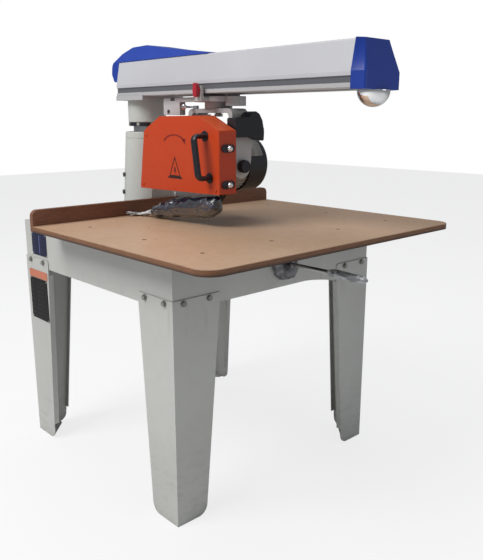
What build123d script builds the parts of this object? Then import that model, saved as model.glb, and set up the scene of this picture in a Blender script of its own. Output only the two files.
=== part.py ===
"""Radial arm saw on a pressed-steel stand, built in millimetres, one STEP file per piece.

X runs from left to right, Y from the front (negative) to the rear, Z up from the floor.
The column stands at the rear, and its arm reaches forward over the table. The saw head
hangs under the arm, with the motor shaft along X and the blade on the left.
"""
from build123d import *
import math
import os

os.makedirs("parts", exist_ok=True)

# ================================================================ DRIVING DIMENSIONS
clearance = 0.05                # radial running clearance
set_back = 20.5                 # shift along Y that centres the whole saw on the origin
ALONG_X = (0, 90, 0)            # rotations that lay a cylinder along X or Y
ALONG_Y = (90, 0, 0)
WIDE_AT_REAR = (-90, 0, 0)      # lays a cone along Y with its second radius at the rear

# table
table_half = 542.0
table_front, table_rear = -562.5, 325.5
table_height, table_thickness = 850.0, 18.0
table_mid_z = table_height - table_thickness / 2
table_corner = 55.0
fence_thickness, fence_top, fence_half = 20.0, 902.0, 538.0

# stand
half_width = 442.0              # outer face of the leg plates, left and right
stand_front, stand_rear = -291.5, 603.5     # outer faces of the leg plates
sheet = 3.0
apron_bottom, apron_top = 670.0, table_height - table_thickness
leg_top = 702.0
leg_taper_top = 680.0           # the taper of the leg plates ends here
leg_side_top, leg_side_foot = 167.0, 124.0  # width of the side plate
leg_face_top, leg_face_foot = 174.0, 112.0  # width of the front or rear plate
leg_bolt_z = 691.0
leg_bolt_insets = (38.0, 132.0)             # bolt distances from the leg corner

# column
column_y = 430.5
house_radius, house_foot_radius = 82.5, 102.0   # barrel at its mouth and at its foot
house_bottom, house_top = apron_top, 1143.5
house_mid_z = (house_bottom + house_top) / 2
post_radius, post_bore = 52.0, 35.0
collar_bottom, collar_top = 1164.0, 1178.0
turret_radius, turret_top = 70.0, 1256.0

# lift drive
crank_z = 748.0
crank_radius, screw_radius = 10.0, 12.0
gear_radius, gear_face, gear_teeth = 28.0, 10.0, 16

# arm
arm_front, arm_rear = -600.0, 495.0
arm_bottom, arm_shoulder, arm_top = 1270.0, 1311.0, 1393.0
arm_half_bottom, arm_half_top = 88.0, 72.0
rail_x, rail_z, rail_radius = 66.0, 1300.0, 7.0
track_rear = 300.0              # rear end of the rails and of the slot
track_mid = (arm_front + track_rear) / 2
track_length = track_rear - arm_front

# head
head_y = 17.5                   # centre of the swivel and of the blade
arbor_z = 1040.0                # height of the bevel pivot and of the motor shaft
blade_x, blade_radius, blade_thickness = -105.0, 152.5, 2.4
shaft_radius = 15.0
guard_left, guard_right = -140.0, -70.0


# ================================================================ HELPERS
def unit_towards(start, end):
    du, dv = end[0] - start[0], end[1] - start[1]
    length = math.hypot(du, dv)
    return du / length, dv / length


def rounded_outline(corners):
    """Draw a closed outline of lines and corner arcs; corners are (u, v, radius)."""
    entries, exits, middles = [], [], []
    for i, corner in enumerate(corners):
        u, v, radius = corner
        if radius <= 0:
            entries.append((u, v))
            exits.append((u, v))
            middles.append(None)
            continue
        back = unit_towards(corner, corners[i - 1])
        ahead = unit_towards(corner, corners[(i + 1) % len(corners)])
        angle = math.acos(max(-1, min(1, back[0] * ahead[0] + back[1] * ahead[1])))
        setback = radius / math.tan(angle / 2)
        depth = radius / math.sin(angle / 2) - radius
        bisector = unit_towards((0, 0), (back[0] + ahead[0], back[1] + ahead[1]))
        entries.append((u + back[0] * setback, v + back[1] * setback))
        exits.append((u + ahead[0] * setback, v + ahead[1] * setback))
        middles.append((u + bisector[0] * depth, v + bisector[1] * depth))
    for i, middle in enumerate(middles):
        if middle is not None:
            ThreePointArc(entries[i], middle, exits[i])
        following = entries[(i + 1) % len(corners)]
        if math.dist(exits[i], following) > 1e-6:
            Line(exits[i], following)


def front_plane(y):
    """Upright XZ plane at y; a positive extrusion from it runs towards the front."""
    return Plane.XZ.offset(-y)


def on_column(z):
    return (0, column_y, z)


def on_crank(y):
    return (0, y, crank_z)


def on_shaft(x):
    return (x, head_y, arbor_z)


def inwards(point, outward, depth):
    """Move a bolt point into the stand, against its outward direction."""
    return (point[0] - outward[0] * depth, point[1] - outward[1] * depth, point[2])


def bolt_rotation(outward):
    return ALONG_X if outward[0] else ALONG_Y


# ================================================================ SHARED HOLE PLACES
def corner_bolts(side, rear):
    """Bolts of one leg as (point on the outer face, outward direction in XY)."""
    corner_y = stand_rear if rear else stand_front
    inward = -1 if rear else 1
    spots = []
    for inset in leg_bolt_insets:
        spots.append(((side * half_width, corner_y + inward * inset, leg_bolt_z), (side, 0)))
        spots.append(((side * (half_width - inset), corner_y, leg_bolt_z), (0, -inward)))
    return spots


leg_bolt_spots = [spot for side in (-1, 1) for rear in (False, True)
                  for spot in corner_bolts(side, rear)]

bearer_x, cross_bearer_y = 300, -384
flange_screws = [(-408, 187.5), (-408, -117.5), (408, 187.5), (408, -117.5)]
bearer_screws = [(x, cross_bearer_y) for x in (-408, -150, 150, 408)]
table_screws = flange_screws + bearer_screws
fence_screw_xs = (-480, -240, 240, 480)
fence_screw_z = 841
base_bolts = [(-92, 366), (92, 366), (-92, 512), (92, 512)]
wood_hole_radius = 3
base_hole_radius = 6
bearing_screw_x = 25            # screws of the front crank bearing

# ================================================================ STAND
apron_mid_y = (stand_front + stand_rear) / 2
apron_width = 2 * (half_width - sheet)
apron_depth = (stand_rear - stand_front) - 2 * sheet
top_flange, bottom_flange = 40, 22
plate_thickness = 10
plate_z = apron_top - plate_thickness / 2
plate_bottom = apron_top - plate_thickness
box_rail_y, box_rail_z = 312, 791
bearer_width, bearer_height = 30, 25
bearer_z = apron_top - bearer_height / 2

with BuildPart() as stand_frame:
    # upright sheet of the apron, then its inward flanges at the top and the bottom
    for z, height, inset in ((apron_bottom, apron_top - apron_bottom, sheet),
                             (apron_top - sheet, sheet, top_flange),
                             (apron_bottom, sheet, bottom_flange)):
        with BuildSketch(Plane.XY.offset(z)):
            with Locations((0, apron_mid_y)):
                Rectangle(apron_width, apron_depth)
                Rectangle(apron_width - 2 * inset, apron_depth - 2 * inset,
                          mode=Mode.SUBTRACT)
        extrude(amount=height)
    # drooping stiffener of the front apron towards the right leg
    with BuildSketch(front_plane(stand_front + 2 * sheet)):
        with BuildLine():
            Spline((74, 671), (165, 664), (252, 646), tangents=((1, 0), (1, -0.32)))
            Line((252, 646), (300, 646))
            Line((300, 646), (300, 675))
            Line((300, 675), (74, 675))
            Line((74, 675), (74, 671))
        make_face()
    extrude(amount=sheet)
    # plate carrying the column
    with Locations((0, 448, plate_z)):
        Box(apron_width - 6, 212, plate_thickness)
    # box rail under the rear edge of the board
    with Locations((0, box_rail_y, box_rail_z)):
        Box(apron_width - 6, 40, 32)
    with Locations((0, box_rail_y, box_rail_z)):
        Box(apron_width + 2, 34, 26, mode=Mode.SUBTRACT)
    # put back the side sheets opened by the rail bore
    side_sheet_x = half_width - 1.5 * sheet
    with Locations((-side_sheet_x, box_rail_y, box_rail_z),
                   (side_sheet_x, box_rail_y, box_rail_z)):
        Box(sheet, 44, 36)
    # passages for the lift screw, the column bolts and the crank bearing
    with Locations(on_column(plate_z)):
        Cylinder(screw_radius + 1, plate_thickness + 2, mode=Mode.SUBTRACT)
    with Locations(*[(x, y, plate_z) for x, y in base_bolts]):
        Cylinder(base_hole_radius, plate_thickness + 2, mode=Mode.SUBTRACT)
    apron_sheet_y = stand_front + 1.5 * sheet
    with Locations(on_crank(apron_sheet_y)):
        Cylinder(16, 8, rotation=ALONG_Y, mode=Mode.SUBTRACT)
    with Locations(*[(x, apron_sheet_y, crank_z) for x in (-bearing_screw_x, bearing_screw_x)]):
        Cylinder(3, 8, rotation=ALONG_Y, mode=Mode.SUBTRACT)
    # notches where the table bearers pass through the front sheet
    with Locations(*[(x, stand_front + 22, bearer_z) for x in (-bearer_x, bearer_x)]):
        Box(bearer_width + 2, 46, bearer_height + 0.2, mode=Mode.SUBTRACT)
    # board screws in the side flanges
    with Locations(*[(x, y, apron_top - sheet / 2) for x, y in flange_screws]):
        Cylinder(wood_hole_radius, 6, mode=Mode.SUBTRACT)
    for point, outward in leg_bolt_spots:
        with Locations(inwards(point, outward, 1.5 * sheet)):
            Cylinder(5, 8, rotation=bolt_rotation(outward), mode=Mode.SUBTRACT)


def build_leg(side, rear):
    """One pressed L-shaped leg: two tapered plates, turned edges and a foot plate."""
    corner_y = stand_rear if rear else stand_front
    inward = -1 if rear else 1
    side_slope = (leg_side_top - leg_side_foot) / leg_taper_top
    face_slope = (leg_face_top - leg_face_foot) / leg_taper_top
    foot_corner, top_corner = 34, 6
    edge_depth, edge_bottom, side_edge_top, face_edge_top = 20, 60, 650, 640
    with BuildPart() as leg:
        # side plate
        side_top_y = corner_y + inward * leg_side_top
        with BuildSketch(Plane.YZ.offset(-half_width if side < 0 else half_width - sheet)):
            with BuildLine():
                rounded_outline([(corner_y, 0, 0),
                                 (corner_y + inward * leg_side_foot, 0, foot_corner),
                                 (side_top_y, leg_taper_top, 0),
                                 (side_top_y, leg_top, top_corner),
                                 (corner_y, leg_top, 0)])
            make_face()
        extrude(amount=sheet)
        # front or rear plate
        face_top_x = side * (half_width - leg_face_top)
        with BuildSketch(front_plane(corner_y if rear else corner_y + sheet)):
            with BuildLine():
                rounded_outline([(side * half_width, 0, 0),
                                 (side * (half_width - leg_face_foot), 0, foot_corner),
                                 (face_top_x, leg_taper_top, 0),
                                 (face_top_x, leg_top, top_corner),
                                 (side * half_width, leg_top, 0)])
            make_face()
        extrude(amount=sheet)
        # turned stiffening edge along the inner side of each plate
        low_width = leg_side_foot + side_slope * edge_bottom
        high_width = leg_side_foot + side_slope * side_edge_top
        edge_x = -half_width if side < 0 else half_width - edge_depth
        with BuildSketch(Plane.YZ.offset(edge_x)):
            with BuildLine():
                Polyline((corner_y + inward * low_width, edge_bottom),
                         (corner_y + inward * high_width, side_edge_top),
                         (corner_y + inward * (high_width - sheet), side_edge_top),
                         (corner_y + inward * (low_width - sheet), edge_bottom),
                         (corner_y + inward * low_width, edge_bottom))
            make_face()
        extrude(amount=edge_depth)
        low_x = half_width - leg_face_foot - face_slope * edge_bottom
        high_x = half_width - leg_face_foot - face_slope * face_edge_top
        with BuildSketch(front_plane(corner_y if rear else corner_y + edge_depth)):
            with BuildLine():
                Polyline((side * low_x, edge_bottom),
                         (side * high_x, face_edge_top),
                         (side * (high_x + sheet), face_edge_top),
                         (side * (low_x + sheet), edge_bottom),
                         (side * low_x, edge_bottom))
            make_face()
        extrude(amount=edge_depth)
        # foot plate closing the bottom of the corner
        with BuildSketch(Plane.XY):
            with BuildLine():
                Polyline((side * half_width, corner_y),
                         (side * (half_width - 84), corner_y),
                         (side * (half_width - 84), corner_y + inward * 20),
                         (side * (half_width - 20), corner_y + inward * 88),
                         (side * half_width, corner_y + inward * 88),
                         (side * half_width, corner_y))
            make_face()
        extrude(amount=4)
        for point, outward in corner_bolts(side, rear):
            with Locations(inwards(point, outward, sheet / 2)):
                Cylinder(5, 8, rotation=bolt_rotation(outward), mode=Mode.SUBTRACT)
    return leg


# hexagon bolts with washers and nuts, through leg plate and apron
leg_shank_radius, leg_hexagon, leg_washer = 4.95, 7.6, 1.6
with BuildPart() as leg_bolts:
    for point, outward in leg_bolt_spots:
        outer_face = Plane(origin=point, x_dir=(0, 0, 1), z_dir=(*outward, 0))
        with BuildSketch(outer_face):
            Circle(9.5)
        extrude(amount=leg_washer)
        with BuildSketch(outer_face.offset(leg_washer)):
            RegularPolygon(leg_hexagon, 6)
        extrude(amount=6)
        with BuildSketch(outer_face):
            Circle(leg_shank_radius)
        extrude(amount=-14)
    # the nuts on the inside of the apron
    for point, outward in leg_bolt_spots:
        inner_face = Plane(origin=inwards(point, outward, 2 * sheet), x_dir=(0, 0, 1),
                           z_dir=(-outward[0], -outward[1], 0))
        with BuildSketch(inner_face):
            RegularPolygon(leg_hexagon, 6)
            Circle(leg_shank_radius, mode=Mode.SUBTRACT)
        extrude(amount=7)

# ================================================================ TABLE
bearer_mid_y, bearer_length = -52, 704
cross_length, cross_width = 860, 40
bearer_wall = 3
hollow_z, hollow_height = 817, 26       # open underneath, 2 mm left at the top

with BuildPart() as table_bearers:
    # two channels running under the board from front to back
    with Locations((-bearer_x, bearer_mid_y, bearer_z), (bearer_x, bearer_mid_y, bearer_z)):
        Box(bearer_width, bearer_length, bearer_height)
    # cross channel under the front overhang
    with Locations((0, cross_bearer_y, bearer_z)):
        Box(cross_length, cross_width, bearer_height)
    with Locations((0, cross_bearer_y, hollow_z)):
        Box(cross_length - 2 * bearer_wall, cross_width - 2 * bearer_wall, hollow_height,
            mode=Mode.SUBTRACT)
    with Locations((-bearer_x, bearer_mid_y, hollow_z), (bearer_x, bearer_mid_y, hollow_z)):
        Box(bearer_width - 2 * bearer_wall, bearer_length - 2 * bearer_wall, hollow_height,
            mode=Mode.SUBTRACT)
    with Locations(*[(x, y, 830) for x, y in bearer_screws]):
        Cylinder(wood_hole_radius, 8, mode=Mode.SUBTRACT)

with BuildPart() as table_top:
    with BuildSketch(Plane.XY.offset(table_height - table_thickness)):
        with BuildLine():
            rounded_outline([(-table_half, table_front, table_corner),
                             (table_half, table_front, table_corner),
                             (table_half, table_rear, 6), (-table_half, table_rear, 6)])
        make_face()
    extrude(amount=table_thickness)
    chamfer(table_top.faces().sort_by(Axis.Z)[-1].edges(), 1.5)
    # countersunk holes of the board screws
    with Locations(*[(x, y, table_mid_z) for x, y in table_screws]):
        Cylinder(wood_hole_radius, table_thickness + 2, mode=Mode.SUBTRACT)
    with Locations(*[(x, y, table_height - 2) for x, y in table_screws]):
        Cone(wood_hole_radius, 7.2, 4.1, mode=Mode.SUBTRACT)
    # holes of the fence screws in the rear edge
    with Locations(*[(x, table_rear - 10, fence_screw_z) for x in fence_screw_xs]):
        Cylinder(wood_hole_radius, 22, rotation=ALONG_Y, mode=Mode.SUBTRACT)

# countersunk screws of the board and of the fence
with BuildPart() as wood_screws:
    for x, y in table_screws:
        with Locations((x, y, 831.6)):
            Cylinder(2.95, 30)
        with Locations((x, y, table_height - 2.1)):
            Cone(2.95, 6.4, 3.2)
    for x in fence_screw_xs:
        with Locations((x, table_rear + 1.0, fence_screw_z)):
            Cylinder(2.9, 36, rotation=ALONG_Y)
        with Locations((x, table_rear + fence_thickness - 2.1, fence_screw_z)):
            Cone(2.9, 6.0, 3.2, rotation=WIDE_AT_REAR)

with BuildPart() as fence:
    with BuildSketch(front_plane(table_rear + fence_thickness)):
        with BuildLine():
            rounded_outline([(-fence_half, apron_top, 0), (fence_half, apron_top, 0),
                             (fence_half, fence_top, 22), (-fence_half, fence_top, 22)])
        make_face()
    extrude(amount=fence_thickness)
    with Locations(*[(x, table_rear + fence_thickness / 2, fence_screw_z)
                     for x in fence_screw_xs]):
        Cylinder(wood_hole_radius, fence_thickness + 2, rotation=ALONG_Y, mode=Mode.SUBTRACT)
    with Locations(*[(x, table_rear + fence_thickness - 1.9, fence_screw_z)
                     for x in fence_screw_xs]):
        Cone(wood_hole_radius, 7, 4, rotation=WIDE_AT_REAR, mode=Mode.SUBTRACT)

# ================================================================ COLUMN
base_thickness = 20
base_half, base_front, base_rear, base_corner = 112, 348.5, 530, 18
counterbore_bottom = 1124
key_width, key_length, key_z = 12, 160, 1040
gib_zs = (984, 919)             # heights of the two screws that set the play of the post
gib_angle = math.radians(158)   # they sit on the left of the barrel, a little to the rear


def gib_plane(z):
    """Plane across a gib screw, at the column axis and facing outwards."""
    return Plane(origin=on_column(z), x_dir=(0, 0, 1),
                 z_dir=(math.cos(gib_angle), math.sin(gib_angle), 0))


with BuildPart() as column_base:
    with BuildSketch(Plane.XY.offset(house_bottom)):
        with BuildLine():
            rounded_outline([(-base_half, base_front, base_corner),
                             (base_half, base_front, base_corner),
                             (base_half, base_rear, base_corner),
                             (-base_half, base_rear, base_corner)])
        make_face()
    extrude(amount=base_thickness)
    with Locations(on_column(house_mid_z)):
        Cone(house_foot_radius, house_radius, house_top - house_bottom)
    # flat that clears the fence
    with Locations((0, 317, 1000)):
        Box(260, 60, 400, mode=Mode.SUBTRACT)
    chamfer(column_base.faces().sort_by(Axis.Z)[-1].edges(), 2)
    # shallow joint line around the barrel
    with BuildSketch(Plane.XY.offset(1119)):
        with Locations((0, column_y)):
            Circle(house_radius + 6)
            Circle(house_radius + 0.3, mode=Mode.SUBTRACT)
    extrude(amount=2, mode=Mode.SUBTRACT)
    # bore for the post
    with Locations(on_column(house_mid_z)):
        Cylinder(post_radius + clearance, house_top - house_bottom + 2, mode=Mode.SUBTRACT)
    # counterbore at the mouth, into which the collar sinks when the arm is lowered
    with Locations(on_column((counterbore_bottom + house_top) / 2)):
        Cylinder(71.5, house_top - counterbore_bottom + 0.1, mode=Mode.SUBTRACT)
    # seat of the key at the rear of the bore
    with Locations((0, column_y + 54, key_z)):
        Box(key_width, 12, key_length, mode=Mode.SUBTRACT)
    with Locations(*[(x, y, house_bottom + base_thickness / 2) for x, y in base_bolts]):
        Cylinder(base_hole_radius, base_thickness + 2, mode=Mode.SUBTRACT)
    # holes of the gib screws
    for z in gib_zs:
        with BuildSketch(gib_plane(z).offset(40)):
            Circle(5)
        extrude(amount=62, mode=Mode.SUBTRACT)

base_hexagon = 10.2
with BuildPart() as column_bolts:
    # head, shank and nut of each base bolt
    for x, y in base_bolts:
        with BuildSketch(Plane.XY.offset(house_bottom + base_thickness)):
            with Locations((x, y)):
                RegularPolygon(base_hexagon, 6)
        extrude(amount=8)
        with BuildSketch(Plane.XY.offset(house_bottom + base_thickness)):
            with Locations((x, y)):
                Circle(base_hole_radius - clearance)
        extrude(amount=-44)
        with BuildSketch(Plane.XY.offset(plate_bottom)):
            with Locations((x, y)):
                RegularPolygon(base_hexagon, 6)
        extrude(amount=-9)
    # gib screws with hexagon heads on the tapering barrel
    gib_start = post_radius + 0.3
    barrel_taper = (house_foot_radius - house_radius) / (house_top - house_bottom)
    for z in gib_zs:
        barrel_radius = house_radius + (house_top - z) * barrel_taper
        with BuildSketch(gib_plane(z).offset(gib_start)):
            Circle(4.95)
        extrude(amount=barrel_radius + 1.5 - gib_start)
        with BuildSketch(gib_plane(z).offset(barrel_radius + 0.8)):
            RegularPolygon(8.5, 6)
        extrude(amount=7)

with BuildPart() as column_key:
    with Locations((0, column_y + 53.6, key_z)):
        Box(key_width, 11.2, key_length)

post_bottom, post_top = 872, 1250
with BuildPart() as column_post:
    with Locations(on_column((post_bottom + post_top) / 2)):
        Cylinder(post_radius, post_top - post_bottom)
    with Locations(on_column(1015)):
        Cylinder(post_bore, 330, mode=Mode.SUBTRACT)
    # keyway
    with Locations((0, column_y + 50.9, 1000)):
        Box(key_width + 0.1, 6, 400, mode=Mode.SUBTRACT)
    # solid top, so that bore and keyway stop below the turret
    with Locations(on_column((collar_top + post_top) / 2)):
        Cylinder(post_radius, post_top - collar_top)

with BuildPart() as column_collar:
    with Locations(on_column((collar_bottom + collar_top) / 2)):
        Cylinder(68, collar_top - collar_bottom)
        Cylinder(post_radius, collar_top - collar_bottom + 2, mode=Mode.SUBTRACT)

# ================================================================ LIFT DRIVE
with BuildPart() as lift_nut:
    with Locations(on_column(900)):
        Cylinder(post_bore, 40)
        Cylinder(screw_radius + clearance, 42, mode=Mode.SUBTRACT)

screw_bottom, screw_top = 766, 1130
with BuildPart() as lift_screw:
    with Locations(on_column((screw_bottom + screw_top) / 2)):
        Cylinder(screw_radius, screw_top - screw_bottom)
    # collar resting above the column plate
    with Locations(on_column(835.5)):
        Cylinder(20, 5)
    chamfer(lift_screw.faces().sort_by(Axis.Z)[-1].edges(), 2)


def gear_outline(scale, phase):
    """Points of the straight-sided teeth of the mitre gear in one plane."""
    tip_radius = gear_radius * 1.085 * scale
    root_radius = gear_radius * 0.885 * scale
    # radius and angle, in degrees, from the centre line of a tooth
    tooth = ((root_radius, -6.6), (tip_radius, -2.3), (tip_radius, 2.3), (root_radius, 6.6))
    points = []
    for k in range(gear_teeth):
        for radius, offset in tooth:
            angle = math.radians(phase + k * 360.0 / gear_teeth + offset)
            points.append((radius * math.cos(angle), radius * math.sin(angle)))
    return points


def mitre_gear(back_point, outward, rotation, phase, bore_radius):
    """Gear with its large end at back_point and its hub on the outward side."""
    hub_length = 16
    back = Plane(origin=back_point, x_dir=(1, 0, 0), z_dir=outward)
    small_scale = (gear_radius - gear_face) / gear_radius
    with BuildPart() as gear:
        with BuildSketch(back):
            Polygon(*gear_outline(1.0, phase), align=None)
        with BuildSketch(back.offset(-gear_face)):
            Polygon(*gear_outline(small_scale, phase), align=None)
        loft(ruled=True)
        with Locations(back.offset(hub_length / 2).origin):
            Cylinder(19, hub_length, rotation=rotation)
        with Locations(back.origin):
            Cylinder(bore_radius, 60, rotation=rotation, mode=Mode.SUBTRACT)
    return gear


# the pinion is turned by half a tooth pitch to mesh
screw_gear = mitre_gear(on_column(crank_z + gear_radius), outward=(0, 0, 1),
                        rotation=(0, 0, 0), phase=-90, bore_radius=screw_radius)
crank_pinion = mitre_gear(on_crank(column_y - gear_radius), outward=(0, -1, 0),
                          rotation=ALONG_Y, phase=90 + 180.0 / gear_teeth,
                          bore_radius=crank_radius)

# thrust bearing hanging under the column plate
thrust_height = 30
with BuildPart() as thrust_bearing:
    with Locations(on_column(plate_bottom - thrust_height / 2)):
        Cylinder(30, thrust_height)
        Cylinder(screw_radius + clearance, thrust_height + 2, mode=Mode.SUBTRACT)
    bottom_edges = thrust_bearing.faces().sort_by(Axis.Z)[0].edges()
    chamfer(bottom_edges.sort_by(SortBy.LENGTH)[-1], 3)

shaft_tip, shaft_step, shaft_end = -596.0, -332.0, 412.5    # Y, front to rear
rod_radius = 7.0
with BuildPart() as crank_shaft:
    with Locations(on_crank((shaft_step + shaft_end) / 2)):
        Cylinder(crank_radius, shaft_end - shaft_step, rotation=ALONG_Y)
    with Locations(on_crank((shaft_tip + shaft_step) / 2)):
        Cylinder(rod_radius, shaft_step - shaft_tip, rotation=ALONG_Y)
    with Locations(on_crank(-316.5)):
        Cylinder(15, 7, rotation=ALONG_Y)

with BuildPart() as crank_bearing_front:
    # flange, outer sleeve and spigot through the sheets
    with Locations(on_crank(stand_front - 2)):
        Cylinder(38, 10, rotation=ALONG_Y)
    with Locations(on_crank(stand_front - 14)):
        Cylinder(25, 14, rotation=ALONG_Y)
    with Locations(on_crank(stand_front + 9)):
        Cylinder(16, 16, rotation=ALONG_Y)
    with Locations(on_crank(stand_front)):
        Cylinder(crank_radius + clearance, 80, rotation=ALONG_Y, mode=Mode.SUBTRACT)
    with Locations(*[(x, stand_front, crank_z) for x in (-bearing_screw_x, bearing_screw_x)]):
        Cylinder(3, 80, rotation=ALONG_Y, mode=Mode.SUBTRACT)

# bracket and bearing carrying the rear end of the crank shaft
bracket_y, bracket_width, bracket_thickness = 362, 60, 18
with BuildPart() as crank_bearing_rear:
    with Locations((0, bracket_y, (crank_z + plate_bottom) / 2)):
        Box(bracket_width, bracket_thickness, plate_bottom - crank_z)
    with Locations((0, bracket_y, plate_bottom - 4)):
        Box(bracket_width, 40, 8)
    with Locations(on_crank(bracket_y)):
        Cylinder(24, bracket_thickness, rotation=ALONG_Y)
    with Locations(on_crank(bracket_y)):
        Cylinder(crank_radius + clearance, 60, rotation=ALONG_Y, mode=Mode.SUBTRACT)

# half profile of the turned grip: Y and radius
handle_profile = [(shaft_tip - 9, 0), (shaft_tip - 9, 7), (shaft_tip - 4, 10), (-560, 11),
                  (-520, 10), (-492, 10.6), (-486, 9), (-486, 0), (shaft_tip - 9, 0)]
handle_bore_end = -480
with BuildPart() as crank_handle:
    with BuildSketch(Plane.YZ):
        with BuildLine():
            Polyline(*[(y, crank_z + radius) for y, radius in handle_profile])
        make_face()
    revolve(axis=Axis(on_crank(0), (0, 1, 0)))
    with Locations(on_crank((shaft_tip + handle_bore_end) / 2)):
        Cylinder(rod_radius, handle_bore_end - shaft_tip, rotation=ALONG_Y,
                 mode=Mode.SUBTRACT)

# ================================================================ ARM
turret_height = turret_top - collar_top
turret_mid_z = (collar_top + turret_top) / 2
with BuildPart() as turret:
    with Locations(on_column(turret_mid_z)):
        Cylinder(turret_radius, turret_height)
    chamfer(turret.faces().sort_by(Axis.Z)[0].edges(), 2)
    # blind bore, closed above the post
    with Locations(on_column(turret_mid_z - 5.9)):
        Cylinder(post_radius + clearance, turret_height, mode=Mode.SUBTRACT)

# right half of the arm section, bottom to top, with a shallow groove along the flank
arm_half_section = [
    (arm_half_bottom, arm_bottom, 3), (arm_half_bottom, 1282, 0),
    (arm_half_bottom - 4, 1284, 0), (arm_half_bottom - 4, 1299, 0),
    (arm_half_bottom, 1301, 0), (arm_half_bottom, arm_shoulder, 5),
    (arm_half_top, arm_top, 6),
]
arm_left_section = [(-x, z, radius) for x, z, radius in reversed(arm_half_section)]
arm_hollow = [(-71, 1274, 0), (71, 1274, 0), (71, 1313, 0),
              (61, 1387, 0), (-61, 1387, 0), (-71, 1313, 0)]
arm_length = arm_rear - arm_front
arm_base_front, arm_base_top = 325, 1272

with BuildPart() as arm_beam:
    with BuildSketch(front_plane(arm_rear)):
        with BuildLine():
            rounded_outline(arm_left_section[-1:] + arm_half_section + arm_left_section[:-1])
        make_face()
    extrude(amount=arm_length)
    # hollow interior, closed at the rear by a wall
    with BuildSketch(front_plane(arm_rear - 8)):
        with BuildLine():
            rounded_outline(arm_hollow)
        make_face()
    extrude(amount=arm_length, mode=Mode.SUBTRACT)
    # slot in the underside for the carriage neck
    with Locations((0, track_mid - 1, 1269)):
        Box(60, track_length + 2, 12, mode=Mode.SUBTRACT)
    # seats of the two round rails
    with Locations((-rail_x, track_mid, rail_z), (rail_x, track_mid, rail_z)):
        Cylinder(rail_radius, track_length, rotation=ALONG_Y, mode=Mode.SUBTRACT)
    # broad base flange seated on the turret
    with Locations((0, (arm_base_front + arm_rear) / 2, (turret_top + arm_base_top) / 2)):
        Box(184, arm_rear - arm_base_front, arm_base_top - turret_top)

with BuildPart() as arm_rails:
    with Locations((-rail_x, track_mid + 2, rail_z), (rail_x, track_mid + 2, rail_z)):
        Cylinder(rail_radius, track_length - 4, rotation=ALONG_Y)

cap_front, cap_lean = -637.5, 24.0
cap_bottom, cap_break = arm_bottom - 3, 1312    # the front leans back above the break
cap_outline = [(-90, arm_front, 0), (90, arm_front, 0),
               (75, cap_front, 9), (-75, cap_front, 9)]
cap_top_outline = [(-74, arm_front, 0), (74, arm_front, 0),
                   (52, cap_front + cap_lean, 7), (-52, cap_front + cap_lean, 7)]
knob_y = -608.0

with BuildPart() as arm_front_cap:
    # upright lower part
    with BuildSketch(Plane.XY.offset(cap_bottom)):
        with BuildLine():
            rounded_outline(cap_outline)
        make_face()
    extrude(amount=cap_break - cap_bottom)
    # upper part, its front leaning back and its flanks drawing in
    with BuildSketch(Plane.XY.offset(cap_break)):
        with BuildLine():
            rounded_outline(cap_outline)
        make_face()
    with BuildSketch(Plane.XY.offset(arm_top + 2)):
        with BuildLine():
            rounded_outline(cap_top_outline)
        make_face()
    loft(ruled=True)
    # hollow behind the front wall
    with Locations((0, arm_front - 5, 1325)):
        Box(84, 10, 90, mode=Mode.SUBTRACT)
    # hole of the knob stem
    with Locations((0, knob_y, arm_bottom + 2)):
        Cylinder(6.05, 18, mode=Mode.SUBTRACT)

# side outline of the rear moulding: y, z, corner radius
rear_cover_outline = [
    (-20, arm_top, 0), (arm_rear, arm_top, 0), (arm_rear, 1322, 0), (532, 1324, 8),
    (547, 1352, 12), (543, 1386, 30), (494, 1424, 25), (440, 1444, 40), (350, 1446, 90),
    (228, 1427, 200), (-16, 1397, 0), (-20, 1395, 0),
]
cover_half, cover_half_top = 73, 46
with BuildPart() as arm_rear_cover:
    with BuildSketch(Plane.YZ.offset(-cover_half)):
        with BuildLine():
            rounded_outline(rear_cover_outline)
        make_face()
    extrude(amount=2 * cover_half)
    # sloping flanks
    with BuildSketch(front_plane(660)):
        for side in (-1, 1):
            with BuildLine():
                Polyline((side * cover_half, arm_top), (side * cover_half_top, 1446),
                         (side * cover_half_top, 1500), (side * 90, 1500),
                         (side * 90, arm_top), (side * cover_half, arm_top))
            make_face()
    extrude(amount=700, mode=Mode.SUBTRACT)

# domed locking knob under the front of the arm
knob_top = arm_bottom - 3.6
with BuildPart() as arm_lock_knob:
    with Locations((0, knob_y, knob_top)):
        Sphere(44)
    with Locations((0, knob_y, knob_top + 30)):
        Box(100, 100, 60, mode=Mode.SUBTRACT)
    with Locations((0, knob_y, arm_bottom - 1)):
        Cylinder(6, 9)

# ================================================================ CARRIAGE
roller_x, roller_dy = 35.95, 62
roller_spots = [(sx * roller_x, head_y + sy * roller_dy) for sx in (-1, 1) for sy in (-1, 1)]
axle_radius = 8
cross_plate_z = 1282
swivel_pin_radius = 10
lock_y, lock_z, lock_radius = head_y - 24.5, 1280, 5
# side outline of the hose bracket: y, z, corner radius
hose_bracket_outline = [
    (head_y + 50, 1246, 0), (148, 1246, 0), (148, 1203, 4), (240, 1203, 6), (240, 1261, 4),
    (200, 1261, 0), (200, 1251, 0), (176, 1251, 0), (176, 1261, 0), (head_y + 50, 1261, 0),
]

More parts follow.
